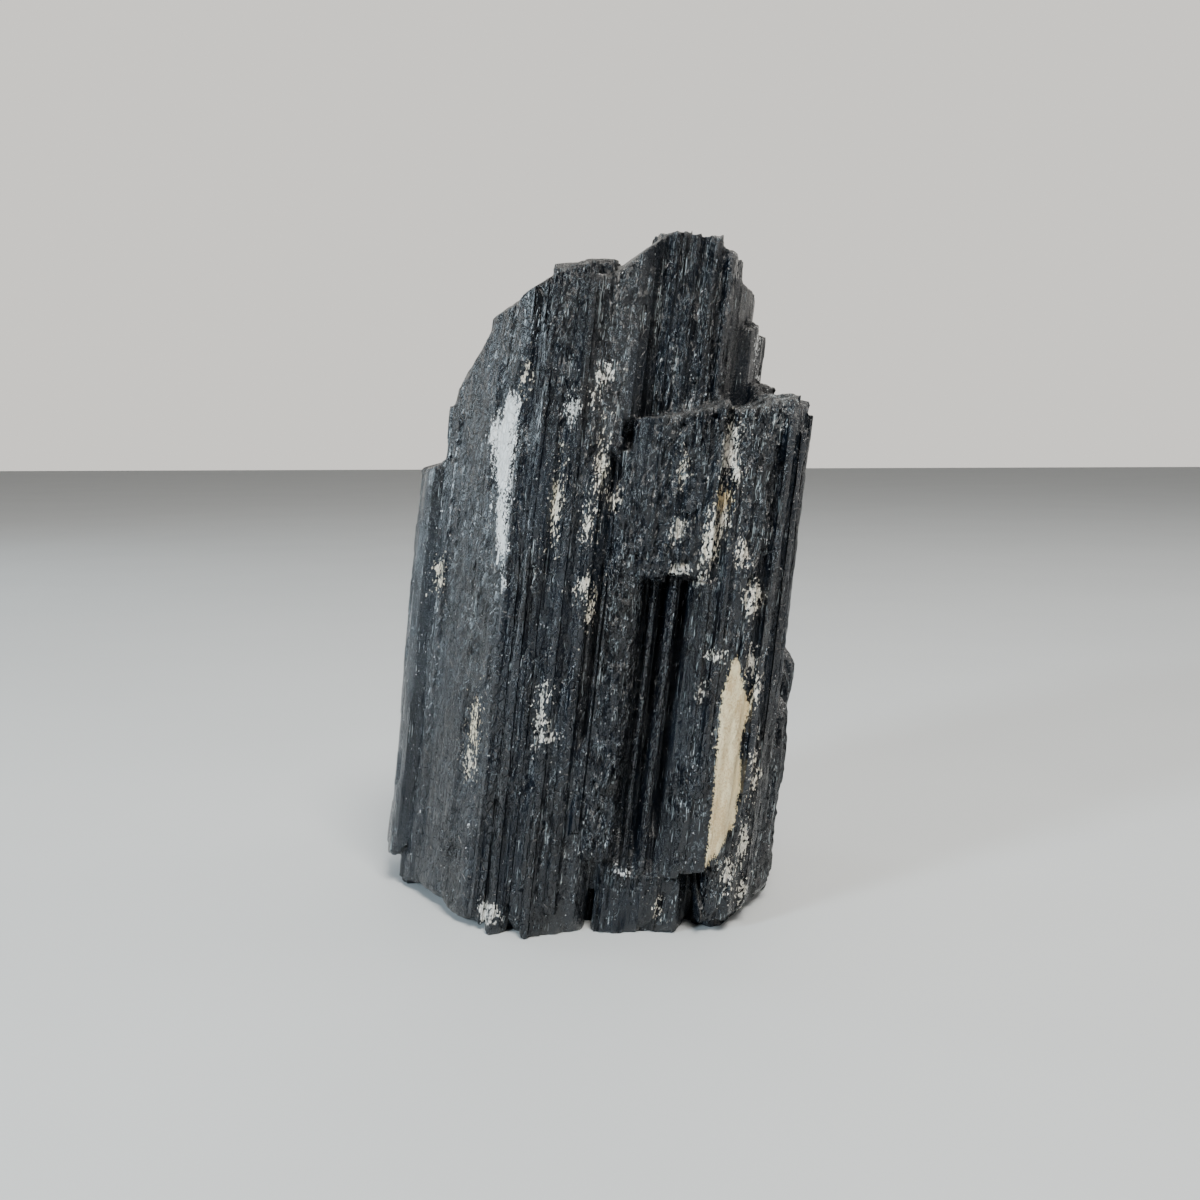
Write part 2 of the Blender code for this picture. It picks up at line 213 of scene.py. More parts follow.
# %% Ribs and rods, as in the solid
# ribs: x of the middle, half width, how far out the face is, foot, top
RIBS = [
    (-38.6, 0.8, -14.8, 10, 108),
    (-30.4, 1.0, -29.2, 4, 118),
    (-23.6, 1.1, -38.2, 3, 102),
    (-19.4, 1.0, -42.4, BURIED, 136),
    (-16.8, 0.8, -43.0, 6, 96),
    (-12.2, 1.1, -45.2, BURIED, 134),
    (-7.6, 1.3, -44.4, 5, 96),
    (-4.4, 1.0, -43.6, 22, 101),
    (-1.6, 1.2, -40.8, 98, 136),
    (3.4, 0.6, -39.6, 100, 143.2),
    (7.2, 0.7, -40.0, 100, 142.9),
    (11.2, 0.7, -39.8, 100, 141.6),
    (14.6, 0.7, -38.8, 100, 138.6),
    (6.6, 0.8, -41.2, 13, 76),
    (10.4, 1.0, -42.2, 13, 76),
    (20.4, 0.9, -46.4, 30, 96),
    (30.0, 1.1, -43.6, 30, 107),
    (33.4, 1.0, -36.4, 4, 104),
    (35.4, 0.9, -30.2, 20, 107),
]
RIB_DEPTH = 7.0  # from a rib's ridge to its root, which is inside the stone
RIB_BEVELS = (1.0, 0.7)  # how far its left and its right shoulder are behind the ridge
RIDGE_SHIFT = 0.2  # how far the ridge is left of the middle, as a share of the half width
RIB_TOP_RISE = 0.3

# Rods that clothe the sides and the back: how many, from and to which angle seen from above
RODS = 38
ROD_FROM, ROD_TO = math.radians(-26.0), math.radians(192.0)
ROD_HALF_WIDTHS = (1.6, 3.2)
ROD_SIDES = 6
ROD_INSET = 1.25  # how far a rod's middle is inside the rim, in its half widths
ROD_DROPS = (1.0, 26.0)  # how far below the top of what carries it a rod breaks off
ROD_FEET = (0.8, 12.0)
BURIED_SHARE = 0.4  # the share of rods that reach the ground
ANGLE_JITTER, CORNER_JITTER, TOP_JITTER = 0.03, 0.2, 0.4
CARRIER_SHARE = 0.86  # what carries a rod is looked for this share of the way out to it
RIM_HALF_WIDTH = 41.0
RIM_HALF_DEPTH = 41.0
RIM_SHIFT = -2.5

print(len(RIBS), "ribs and", RODS, "rods")

# %% [markdown]
# ### Chips
# Where something is missing, such as the deep groove at the left, the slots in the recess or the
# broken lower corner, a column is taken away instead of added. That is the same kind of row again,
# and it is easier to set than a gap between neighbours.

# %% Chips, as columns that are cut away
CHIPS = {
    "groove": (
        [(-24.8, OUTSIDE), (-21.6, OUTSIDE), (-22.4, -35.0), (-24.0, -35.0)], 104, 150, 0.0, 0.0),
    "top_notch": (
        [(-12.8, OUTSIDE), (-8.6, OUTSIDE), (-9.4, -30), (-11.8, -30)], 134.8, 150, 0.0, 0.0),
    "slot": (
        [(7.6, OUTSIDE), (9.2, OUTSIDE), (9.0, -34.6), (7.8, -34.6)], 12.0, 73.4, 0.0, 0.0),
    "left_of_slot": (
        [(4.6, OUTSIDE), (5.8, OUTSIDE), (5.7, -35.0), (4.9, -35.0)], 14.0, 73.6, 0.0, 0.0),
    "thin_slot": (
        [(11.6, OUTSIDE), (13.4, OUTSIDE), (13.2, -34.8), (11.9, -34.8)], 20.0, 73.8, 0.0, 0.0),
    "edge_slot": (
        [(-5.4, OUTSIDE), (-4.0, OUTSIDE), (-4.1, -39.5), (-5.1, -39.5)], 40.0, 100, 0.0, 0.0),
    "block_groove": (
        [(17.0, OUTSIDE), (18.2, OUTSIDE), (18.0, -41.0), (17.3, -41.0)], 78.0, 130, 0.0, 0.0),
    "foot_cavity": (
        [(20.6, OUTSIDE), (25.2, OUTSIDE), (24.4, -36.5), (21.4, -36.5)], 4.0, 14.0, 0.2, 0.0),
    "foot_gap": (
        [(-0.4, OUTSIDE), (1.8, OUTSIDE), (1.4, -33.0), (0.2, -33.0)], -8, 9, 0.0, 0.0),
    "foot_notch": (
        [(-17.6, OUTSIDE), (-15.4, OUTSIDE), (-15.8, -39.0), (-17.2, -39.0)], -8, 7, 0.0, 0.0),
    "ledge_pit": (
        [(-3.8, OUTSIDE), (-1.0, OUTSIDE), (-1.4, -37.6), (-3.2, -37.6)], 100.5, 106.5, 0.0, 0.0),
    "right_under": (
        [(24, OUTSIDE), (60, OUTSIDE), (60, 4), (36, 4)], -8, 15.5, 1.3, -0.6),
    "left_nick": (
        [(-60, -6), (-46.4, -4), (-46.4, 0), (-60, 2)], 38.6, 41.2, 0.0, 0.0),
}
print(len(CHIPS), "chips")

# %% [markdown]
# ## From lists to columns
# A crystal isn't one smooth prism: it is a pack of blades, each a little further back than the next and
# broken off a little higher or lower. The blades are cut from the crystal's outline by parallel lines.
# Slender ribs are set on the face one by one, where the eye would miss them, and rods are drawn by lot
# round the sides and the back.

# %% A column
def anticlockwise(outline):
    """An outline's corners, turned round where its area, half the cross products, is negative."""
    corners = np.array(outline, float)
    after = np.roll(corners, -1, axis=0)
    area = (corners[:, 0] * after[:, 1] - after[:, 0] * corners[:, 1]).sum() / 2
    return corners if area > 0 else corners[::-1]


def column(outline, foot, top, rise_x=0.0, rise_y=0.0):
    """An outline, a foot and the top's plane, as its height over the axis and its two rises."""
    outline = anticlockwise(outline)
    middle = outline.mean(axis=0)
    return outline, foot, (top - rise_x * middle[0] - rise_y * middle[1], rise_x, rise_y)


def top_at(made, x, y):
    """Height of a column's top over a place: level + rise_x x + rise_y y."""
    level, rise_x, rise_y = made[2]
    return level + rise_x * x + rise_y * y


def holds(outline, x, y):
    """Whether a convex outline, given anticlockwise, has the place (x, y) inside it."""
    edges = np.roll(outline, -1, axis=0) - outline
    to_point = np.array([x, y]) - outline
    return bool((edges[:, 0] * to_point[:, 1] - edges[:, 1] * to_point[:, 0] > 0).all())


print("a column's top over the middle:", top_at(column(*CORE["trunk"]), 0.0, 0.0), "mm")

# %% [markdown]
# ### Splitting a crystal into blades
# An outline is cut by two parallel lines at a time. Cutting a convex outline by a line keeps it
# convex, which is what makes every later step simple.

# %% Blades
def clipped(outline, direction, limit):
    """The part of a convex outline that reaches no further than a limit along a direction."""
    kept = []
    for corner, after in zip(outline, np.roll(outline, -1, axis=0)):
        here, there = corner @ direction - limit, after @ direction - limit
        if here <= 0:
            kept.append(corner)
        if here * there < 0:
            kept.append(corner + (after - corner) * here / (here - there))
    return np.array(kept)


def blades(crystal, random):
    """One crystal as blades that lie side by side across the way it faces."""
    outline, foot, top, rise_x, rise_y, width, recess, ragged = crystal
    whole = column(outline, foot, top, rise_x, rise_y)
    outward = whole[0].mean(axis=0)
    outward = outward / np.linalg.norm(outward)
    across = np.array([-outward[1], outward[0]])
    reach = whole[0] @ across
    count = max(2, round((reach.max() - reach.min()) / width))
    cuts = np.linspace(reach.min(), reach.max(), count + 1)
    cuts[1:-1] += random.uniform(-CUT_JITTER, CUT_JITTER, count - 1) * width
    made = []
    for low, high in zip(cuts[:-1], cuts[1:]):
        strip = clipped(whole[0], across, high + BLADE_OVERLAP)
        strip = clipped(strip, -across, BLADE_OVERLAP - low)
        strip = strip - outward * random.uniform(0.0, recess)
        level = whole[2][0] - random.uniform(0.0, ragged)
        lifted = foot if foot < 0 else foot + random.uniform(0.0, ragged)
        made.append((strip, lifted, (level, rise_x, rise_y)))
    return made


print("a peak of", len(blades(CRYSTALS["peak"], np.random.default_rng(SEED))), "blades")

# %% [markdown]
# ### Ribs and rods as columns
# A rib is five-sided with a ridge in front, like a roof laid on its back. A rod is a six-sided
# prism, as tourmaline grows, that leans on what stands behind it and never rises over it.

# %% Ribs and rods
def rib_column(x, half_width, front, foot, top):
    """A slender five-sided rib whose ridge points forward and whose root is inside the stone."""
    left, right = x - half_width, x + half_width
    root = front + RIB_DEPTH
    ridge = (x - RIDGE_SHIFT * half_width, front)
    left_bevel, right_bevel = RIB_BEVELS
    outline = [
        (left, root), (left, front + left_bevel), ridge, (right, front + right_bevel), (right, root)]
    return column(outline, foot, top, RIB_TOP_RISE)


def rods(crystals, random):
    """Slender six-sided rods round the sides and the back, each shorter than what it leans on."""
    angles = np.linspace(ROD_FROM, ROD_TO, RODS) + random.uniform(-ANGLE_JITTER, ANGLE_JITTER, RODS)
    made = []
    for angle in angles:
        radius = random.uniform(*ROD_HALF_WIDTHS)
        inset = ROD_INSET * radius
        x = RIM_SHIFT + (RIM_HALF_WIDTH - inset) * math.cos(angle)
        y = (RIM_HALF_DEPTH - inset) * math.sin(angle)
        carried = [top_at(c, x, y) for c in crystals if holds(c[0], CARRIER_SHARE * x, CARRIER_SHARE * y)]
        top = max(carried) - random.uniform(*ROD_DROPS)
        foot = BURIED if random.uniform() < BURIED_SHARE else random.uniform(*ROD_FEET)
        corner = np.arange(ROD_SIDES) + random.uniform(-CORNER_JITTER, CORNER_JITTER, ROD_SIDES)
        around = angle + corner * math.tau / ROD_SIDES
        outline = np.stack([x + radius * np.cos(around), y + radius * np.sin(around)], axis=1)
        made.append(column(outline, foot, top, *random.uniform(-TOP_JITTER, TOP_JITTER, 2)))
    return made


print("a rib reaches back", RIB_DEPTH, "mm")

# %% [markdown]
# ### The whole bundle
# All columns go into one list, with the name of the crystal that each belongs to: the name
# decides the skin later. The middle of their box becomes the origin, as for the solid.

# %% All the columns
def bundle():
    """Every column of the stone, and for each the name of the crystal whose skin it has."""
    random = np.random.default_rng(SEED)
    core = [column(*made) for made in CORE.values()]
    whole = [column(*made[:5]) for made in CRYSTALS.values()]
    columns, names = list(core), list(CORE)
    for name, made in CRYSTALS.items():
        cut = blades(made, random)
        columns += cut
        names += [name] * len(cut)
    columns += [rib_column(*rib) for rib in RIBS]
    names += ["rib"] * len(RIBS)
    columns += rods(core + whole, random)
    names += ["rod"] * RODS
    return columns, names


def middle_of(columns):
    """The middle of the box round all the columns, leaned, above the ground."""
    corners = np.array([
        (x + LEAN * z, y, z)
        for made in columns
        for x, y in made[0]
        for z in (max(made[1], 0.0), top_at(made, x, y))
    ])
    return (corners.min(axis=0) + corners.max(axis=0)) / 2


columns, names = bundle()
middle = middle_of(columns)
print(len(columns), "columns; middle of their box, mm:", middle.round(2))

# %% [markdown]
# ## Feeling the bundle from inside
# The fine surface is a function of two parameters. The first is the angle round the stone, and
# the second runs from the middle of the foot, out and up the wall, to the middle of the top. For
# each pair a straight ray leaves a point inside the stone, and the surface is where that ray
# leaves the last column that it passes. A voxel remesh of the union would also give one skin,
# but its little cubes would blur the blades, while here a whole line of points runs up each one.

# %% Rays round the stone
ROUND, UP = ((500, 196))
CENTRE = np.array([6.0, 2.0])  # where the rays start, in the upright plan
MID = 73.0  # and how high
FRONT_SHARE = 0.4  # how much closer together the lines are in front than at the sides
ANGLE_STEPS = 4001  # steps in which the even count is turned back into an angle
TINY = 1e-9


def angles_round(count):
    """Angles once round, close together in front: a + k sin(a) takes even steps."""
    turn = np.linspace(-math.pi, math.pi, ANGLE_STEPS)
    even = np.linspace(-math.pi, math.pi, count, endpoint=False)
    return np.interp(even, turn + FRONT_SHARE * np.sin(turn), turn) - math.pi / 2


angles = angles_round(ROUND)
headings = np.stack([np.cos(angles), np.sin(angles)], axis=1)


def crossings(some):
    """Along each heading, where every outline starts and ends, and how its top rises.

    An outline is the meeting of half planes n.p <= d. On the ray p = centre + t heading, each
    gives t <= (d - n.centre) / (n.heading) or the other way round, and the tightest count.
    """
    most = max(len(made[0]) for made in some)
    normals = np.zeros((len(some), most, 2))
    offsets = np.full((len(some), most), np.inf)
    for number, (outline, _, _) in enumerate(some):
        edge = np.roll(outline, -1, axis=0) - outline
        normal = np.stack([edge[:, 1], -edge[:, 0]], axis=1)
        normals[number, :len(outline)] = normal
        offsets[number, :len(outline)] = (normal * (outline - CENTRE)).sum(axis=1)
    against = np.einsum("aj,cej->ace", headings, normals)
    with np.errstate(divide="ignore", invalid="ignore"):
        limit = offsets[None] / against
    return {
        "near": np.where(against < -TINY, limit, -np.inf).max(axis=2),
        "far": np.where(against > TINY, limit, np.inf).min(axis=2),
        "level": np.array([top_at(made, *CENTRE) for made in some]),
        "rise": headings @ np.array([made[2][1:] for made in some]).T,
        "foot": np.array([made[1] for made in some]),
    }


grown = crossings(columns)
broken = crossings([column(*chip) for chip in CHIPS.values()])
print("rays:", ROUND, "headings by", UP, "slopes")

# %% [markdown]
# ### Where a ray leaves the stone
# Going up or down a slope, a ray is inside a column between two distances. The farthest of the
# outer ones is the surface, and a chip that covers it moves it back to where the chip starts.
# This is exact, and all columns are tried at once, in batches of lines.

# %% Leaving the stone
BATCH = 12000  # rays worked out at a time, so that the arrays fit in memory
CHIP_PASSES = 2
CHIP_MARGIN = 0.01


def spans(slopes, found, part):
    """From where to where a ray is inside each column, by its walls, its top and its foot.

    On a ray of slope m, height is mid + m t. The top level + r t allows (m - r) t <= level - mid,
    and the foot allows -m t <= mid - foot.
    """
    slopes = slopes[part][:, :, None]
    low = np.broadcast_to(found["near"][part][:, None, :], slopes.shape[:2] + found["foot"].shape)
    high = np.broadcast_to(found["far"][part][:, None, :], low.shape)
    top = (slopes - found["rise"][part][:, None, :], found["level"] - MID)
    foot = (-slopes, MID - found["foot"])
    for steepness, room in (top, foot):
        with np.errstate(divide="ignore", invalid="ignore"):
            limit = room / steepness
        high = np.where(steepness > TINY, np.minimum(high, limit), high)
        low = np.where(steepness < -TINY, np.maximum(low, limit), low)
    return np.maximum(low, 0.0), high


def leave(slopes):
    """The level distance at which each ray leaves the stone, and the number of the last column."""
    distance = np.zeros(slopes.shape)
    owner = np.zeros(slopes.shape, int)
    for part in np.array_split(np.arange(len(slopes)), max(1, slopes.size // BATCH)):
        low, high = spans(slopes, grown, part)
        exits = np.where(high > low, high, 0.0)
        owner[part] = exits.argmax(axis=2)
        out = exits.max(axis=2)
        ground = np.where(slopes[part] < -TINY, MID / np.maximum(-slopes[part], TINY), np.inf)
        out = np.minimum(out, ground)
        low, high = spans(slopes, broken, part)
        for _ in range(CHIP_PASSES):
            inside = (low < out[:, :, None]) & (out[:, :, None] < high + CHIP_MARGIN)
            out = np.where(inside, low, out[:, :, None]).min(axis=2)
        distance[part] = out
    return distance, owner

# %% [markdown]
# ## Putting the rows where the shape turns
# Evenly spread rows would waste points on the flat foot and miss the ledges. So the rays are
# first sent out on an even, finer grid, and each step along a line counts by its length and by
# how sharply the line turns there. The rows of the real grid then share that count evenly.

# %% Rows that gather at the ledges
SURVEY = 620
NOMINAL_RADIUS, NOMINAL_HEIGHT = 42.0, 142.0
FIRST_SHARE, LAST_SHARE = 0.004, 0.992
TURN_WEIGHT = 0.5
FOOT_WEIGHT = 0.08
FOOT_RADIUS = 30.0
ON_GROUND = 0.01  # lower than this counts as the foot
LEAST_COST = 0.02  # what a step counts at least
NARROWEST = 0.02  # how near to upright a ray may be
BLUR = 3


def slopes_at(share):
    """Slope of the ray through a plain cup at a share of the way over its foot, wall and top."""
    whole = 2 * NOMINAL_RADIUS + NOMINAL_HEIGHT
    way = share * whole
    radius = np.minimum(np.minimum(way, NOMINAL_RADIUS), whole - way)
    height = np.clip(way - NOMINAL_RADIUS, 0.0, NOMINAL_HEIGHT)
    return (height - MID) / np.maximum(radius, NARROWEST)


def blurred(field, steps):
    """Each number shared with its neighbours round the stone, so that rows run on smoothly."""
    for _ in range(steps):
        field = 0.25 * np.roll(field, 1, axis=0) + 0.5 * field + 0.25 * np.roll(field, -1, axis=0)
    return field


def survey_cost(share):
    """What each step of the even grid counts: its length, and more where the line turns."""
    slopes = np.broadcast_to(slopes_at(share), (ROUND, len(share)))
    distance, _ = leave(slopes)
    height = MID + slopes * distance
    step = np.stack([np.diff(distance, axis=1), np.diff(height, axis=1)], axis=2)
    length = np.linalg.norm(step, axis=2)
    heading = step / np.maximum(length, TINY)[:, :, None]
    turn = np.arccos(np.clip((heading[:, 1:] * heading[:, :-1]).sum(axis=2), -1, 1))
    cost = length.copy()
    cost[:, 1:] += TURN_WEIGHT * turn
    under = (height[:, 1:] < ON_GROUND) & (distance[:, 1:] < FOOT_RADIUS)
    return blurred(cost * np.where(under, FOOT_WEIGHT, 1.0), BLUR) + LEAST_COST


def gathered_shares():
    """For each line, the shares at which equal parts of its whole cost have been run up."""
    share = np.linspace(FIRST_SHARE, LAST_SHARE, SURVEY)
    run = np.concatenate([np.zeros((ROUND, 1)), np.cumsum(survey_cost(share), axis=1)], axis=1)
    run /= run[:, -1:]
    # one long rising list holds all the lines, two units apart, so one search serves them all
    line = np.arange(ROUND)[:, None]
    wanted = np.linspace(0.0, 1.0, UP)[None, :] + 2.0 * line
    after = np.searchsorted((run + 2.0 * line).ravel(), wanted.ravel()).reshape(wanted.shape)
    after = np.clip(after - line * SURVEY, 1, SURVEY - 1)
    before = run[line, after - 1]
    part = (wanted - 2.0 * line - before) / np.maximum(run[line, after] - before, TINY)
    return share[after - 1] + part * (share[after] - share[after - 1])


slopes = slopes_at(gathered_shares())
distance, owner = leave(slopes)
height = np.maximum(MID + slopes * distance, 0.0)
place = np.stack([
    CENTRE[0] + distance * headings[:, :1],
    CENTRE[1] + distance * headings[:, 1:],
    height,
], axis=2)
print("walls", distance.min().round(1), "to", distance.max().round(1), "mm out, top", height.max().round(1))

# %% [markdown]
# ## What each crystal's skin is like
# Black tourmaline has many skins on one stone. Clean faces are glassy and finely lined, others
# are crumbly and full of glints, and some have been rubbed smooth. Each crystal that is named
# above has its own mix. A single mix for the whole stone would be shorter to write, and it is
# just what makes a computed rock look like plastic.

# %% The skins
# needle depth, grain depth, wear of the edges, roughness, share of grainy skin, white flecks and painted
# glints, dust
SKINS = {
    "trunk": (0.50, 0.10, 0.1, 0.14, 0.0, 0.0, 0.0),
    "upper_trunk": (0.50, 0.40, 0.3, 0.34, 0.5, 0.2, 0.1),
    "left_slab": (0.30, 0.12, 0.3, 0.20, 0.1, 0.2, 0.0),
    "left_low": (0.35, 0.15, 0.3, 0.22, 0.2, 0.3, 0.0),
    "left_face": (0.10, 0.20, 0.9, 0.30, 0.1, 0.2, 0.1),
    "left_shoulder": (0.12, 0.24, 0.8, 0.30, 0.2, 0.3, 0.2),
    "centre_left": (0.36, 0.28, 0.9, 0.34, 0.5, 0.4, 0.1),
    "centre": (0.36, 0.36, 0.5, 0.32, 0.6, 0.6, 0.1),
    "peak_flank": (0.22, 0.34, 0.7, 0.36, 0.6, 0.6, 0.3),
    "peak": (0.40, 0.40, 0.4, 0.26, 0.6, 0.9, 0.1),
    "peak_right": (0.30, 0.60, 0.7, 0.30, 1.0, 0.3, 0.1),
    "right_step": (0.22, 0.06, 0.2, 0.40, 0.0, 0.1, 0.4),
    "right_low_step": (0.22, 0.06, 0.2, 0.40, 0.0, 0.2, 0.3),
    "right_lump": (0.20, 1.10, 1.0, 0.30, 1.0, 0.3, 0.1),
    "front_block": (0.26, 0.90, 0.9, 0.32, 0.8, 0.5, 0.1),
    "front_block_left": (0.30, 0.90, 0.9, 0.32, 0.8, 0.5, 0.1),
    "slot_left": (0.20, 0.80, 0.8, 0.34, 0.8, 0.5, 0.0),
    "slot_right": (0.40, 0.20, 0.4, 0.28, 0.4, 0.3, 0.0),
    "under_slots": (0.45, 0.30, 0.4, 0.26, 0.4, 0.4, 0.0),
    "vein_side": (0.30, 0.60, 0.6, 0.28, 0.9, 0.8, 0.1),
    "right_front": (0.34, 0.60, 0.5, 0.26, 0.9, 0.9, 0.1),
    "right_side": (0.40, 0.36, 0.4, 0.26, 0.6, 0.6, 0.0),
    "right_foot": (0.40, 0.40, 0.5, 0.26, 0.7, 0.8, 0.0),
    "rib": (0.16, 0.20, 0.5, 0.28, 0.3, 0.3, 0.0),
    "rod": (0.26, 0.20, 0.4, 0.24, 0.3, 0.3, 0.0),
}
BACK_SKIN = (0.42, 0.40, 0.4, 0.30, 0.5, 0.4, 0.1)
skins = np.array([SKINS.get(name, BACK_SKIN) for name in names])[owner]
needle_depth, grain_depth, wear, roughness, grainy, flecks_and_glints, dusty = np.moveaxis(skins, 2, 0)
print("skins for", len(SKINS), "kinds of crystal")

# %% [markdown]
# ### Random numbers that stay in place
# Wear and grain have to look random, and yet be the same each time and the same at neighbouring
# points. A lattice gives each of its corners a number made from the corner's own place, and
# between the corners the numbers are blended.

# %% Smooth random numbers in space
FACTORS = (73856093, 19349663, 83492791, 2654435761)
LAST_FACTOR = 1274126177
LOW_32, LOW_24 = 0xFFFFFFFF, 0xFFFFFF
# size of a pattern across, deep and up, and its seed
WANDER = ((8.0, 8.0, 30.0), 15)
PATCHES_OF_WEAR, SPOTS_OF_WEAR = ((9.0, 9.0, 16.0), 16), ((4.0, 4.0, 8.0), 17)
SPOT_SHARE = 0.5


def hashed(x, y, z, seed):
    """A random number from -1 to 1 that belongs to three whole numbers, mixed by odd factors."""
    mixed = x * FACTORS[0] ^ y * FACTORS[1] ^ z * FACTORS[2] ^ seed * FACTORS[3]
    mixed = (mixed ^ (mixed >> 13)) * LAST_FACTOR & LOW_32
    mixed = (mixed ^ (mixed >> 16)) & LOW_24
    return 2.0 * mixed / LOW_24 - 1.0


def field(points, size, seed):
    """Each corner of a grid of boxes has its own number. Between corners they blend by 3t^2 - 2t^3."""
    at = points / np.array(size)
    cell = np.floor(at).astype(np.int64)
    t = at - cell
    t = t * t * (3 - 2 * t)
    total = 0.0
    for dx, dy, dz in np.ndindex(2, 2, 2):
        weight = np.abs(1 - dx - t[..., 0]) * np.abs(1 - dy - t[..., 1]) * np.abs(1 - dz - t[..., 2])
        total = total + weight * hashed(cell[..., 0] + dx, cell[..., 1] + dy, cell[..., 2] + dz, seed)
    return total


wander = field(place, *WANDER)
patchy = field(place, *PATCHES_OF_WEAR) + SPOT_SHARE * field(place, *SPOTS_OF_WEAR)
print("patchiness", patchy.min().round(2), "to", patchy.max().round(2))

# %% [markdown]
# ## Wear
# Straight columns have straight edges from top to bottom, and real crystals don't: an edge is
# sharp for a while, then chipped, then rubbed round. A well rounded copy of the surface is
# made by drawing each point towards its neighbours many times, and the skin is a blend of the
# sharp and the rounded one, by a smooth random share.

# %% Sharp in some places and worn in others
WEAR_STEPS = 8
WEAR_PULL = 0.7
EVEN_WEAR, PATCHY_WEAR = 0.55, 0.9
WANDER_REACH = 0.5


def rounded_off(place, steps):
    """Each point drawn again and again towards the middle of its four neighbours."""
    for _ in range(steps):
        around = np.roll(place, 1, axis=0) + np.roll(place, -1, axis=0)
        around[:, 1:-1] += place[:, 2:] + place[:, :-2]
        around[:, 1:-1] /= 4.0
        around[:, [0, -1]] = place[:, [0, -1]]
        place = place + WEAR_PULL * (around - place)
    return place


worn_share = np.clip(wear * (EVEN_WEAR + PATCHY_WEAR * patchy), 0.0, 1.0)[:, :, None]
skin = place + worn_share * (rounded_off(place, WEAR_STEPS) - place)
outward = np.concatenate([headings, np.zeros((ROUND, 1))], axis=1)[:, None, :]
skin = skin + WANDER_REACH * wander[:, :, None] * outward
print("edges worn by up to", np.linalg.norm(skin - place, axis=2).max().round(2), "mm")

# %% [markdown]
# ### Which way the skin faces
# Needles only push walls in and out, and breaks only roughen tops. The cross product of the two
# directions of the grid tells them apart.

# %% Which way the skin faces
def facing(place):
    """How level, from 0 on a wall to 1 on a top or -1 underneath, the skin lies at each point."""
    along = np.roll(place, -1, axis=0) - np.roll(place, 1, axis=0)
    upward = np.gradient(place, axis=1)
    normal = np.cross(along, upward)
    return normal[:, :, 2] / np.maximum(np.linalg.norm(normal, axis=2), TINY)


TOP_BEGINS, TOP_GAIN = 0.25, 2.0  # how level a top is at least, and how soon it counts fully
level = facing(skin)
wall = 1.0 - level ** 2
on_top = np.clip(TOP_GAIN * (level - TOP_BEGINS), 0.0, 1.0)
print("share of the skin that is wall:", wall.mean().round(2), "top:", on_top.mean().round(2))

# %% [markdown]
# ## Needles and grains
# Every face is a comb of needles a millimetre or two wide, and each needle has broken and
# shifted along its length. The needles are whole numbers of grid lines wide, so their edges stay
# crisp. Where the stone is crumbly, a cell pattern with flat tilted tops pushes the skin in and
# out, so that each crumb has a face of its own to glint with.

# %% The comb of needles
def comb(random, widths, lengths, ragged):
    """A number for each point of the grid that is the same all over one piece of one needle.

    A needle takes a few lines of the grid. Its breaks are a whole length apart, and which piece
    a point is on is its height over that length, rounded down.
    """
    widths = random.integers(*widths, ROUND)
    needle = np.repeat(np.arange(ROUND), widths)[:ROUND]
    length = random.uniform(*lengths, ROUND)[needle][:, None]
    start = random.uniform(0, 200, ROUND)[needle][:, None]
    start = start + random.uniform(-ragged, ragged, ROUND)[:, None]
    piece = np.floor((height + start) / length).astype(np.int64)
    return hashed(needle[:, None], piece, np.int64(0), int(random.integers(1, 9999))), needle


LINES = ROUND / 500  # needles keep their width on a coarser grid
# three combs: widths in lines of the grid, lengths in millimetres, raggedness of the breaks
BROAD = ((max(2, int(5 * LINES)), int(12 * LINES)), (50.0, 150.0), 1.0)
SLIM = ((max(1, int(2 * LINES)), int(6 * LINES)), (14.0, 70.0), 1.2)
FINE = ((1, 3), (4.0, 26.0), 0.8)
BROAD_SHARE, SLIM_SHARE, FINE_SHARE = 0.5, 0.75, 0.6
NEEDLE_SEED = 7

random = np.random.default_rng(NEEDLE_SEED)
broad, broad_needle = comb(random, *BROAD)
slim, _ = comb(random, *SLIM)
fine, _ = comb(random, *FINE)
needles = BROAD_SHARE * broad + SLIM_SHARE * slim + FINE_SHARE * fine
print("needle pieces shift by", needles.min().round(2), "to", needles.max().round(2), "needle depths")

# %% [markdown]
# ### Crumbs
# Crumbly skin glitters because each crumb has its own flat face. Plain smooth noise would make
# it look like dough. So space is split into cells, and the skin over each cell is a tilted chip.

# %% Crumbs with flat faces
CHIP_STRAY = 0.45  # how far a chip's centre is from its box's middle, in boxes
CHIP_LIFT = 0.5
# size of a box across, deep and up, and its seed
LUMPS, CRUMBS, SMALL_CRUMBS = ((5.0, 5.0, 8.0), 11), ((2.6, 2.6, 4.2), 21), ((1.3, 1.3, 2.2), 31)
CRUMB_SHARE, SMALL_CRUMB_SHARE = 0.7, 0.5


def crumbs(points, size, seed):
    """Height of a heap of tilted chips, one in each box of a grid.

    A box has its own chip centre, drawn by lot. A point belongs to the nearest centre, and its
    height there is its offset from the centre times the chip's own tilt, plus the chip's lift.
    """
    at = points / np.array(size)
    cell = np.floor(at).astype(np.int64)
    nearest = np.full(at.shape[:2], np.inf)
    result = np.zeros(at.shape[:2])
    for step in np.ndindex(3, 3, 3):
        here = cell + np.array(step) - 1
        lots = np.stack([hashed(*np.moveaxis(here, 2, 0), seed + k) for k in range(6)], axis=2)
        offset = at - here - 0.5 - CHIP_STRAY * lots[..., :3]
        apart = (offset ** 2).sum(axis=2)
        height = (offset * lots[..., 3:]).sum(axis=2) + CHIP_LIFT * lots[..., 3]
        closer = apart < nearest
        nearest = np.where(closer, apart, nearest)
        result = np.where(closer, height, result)
    return result


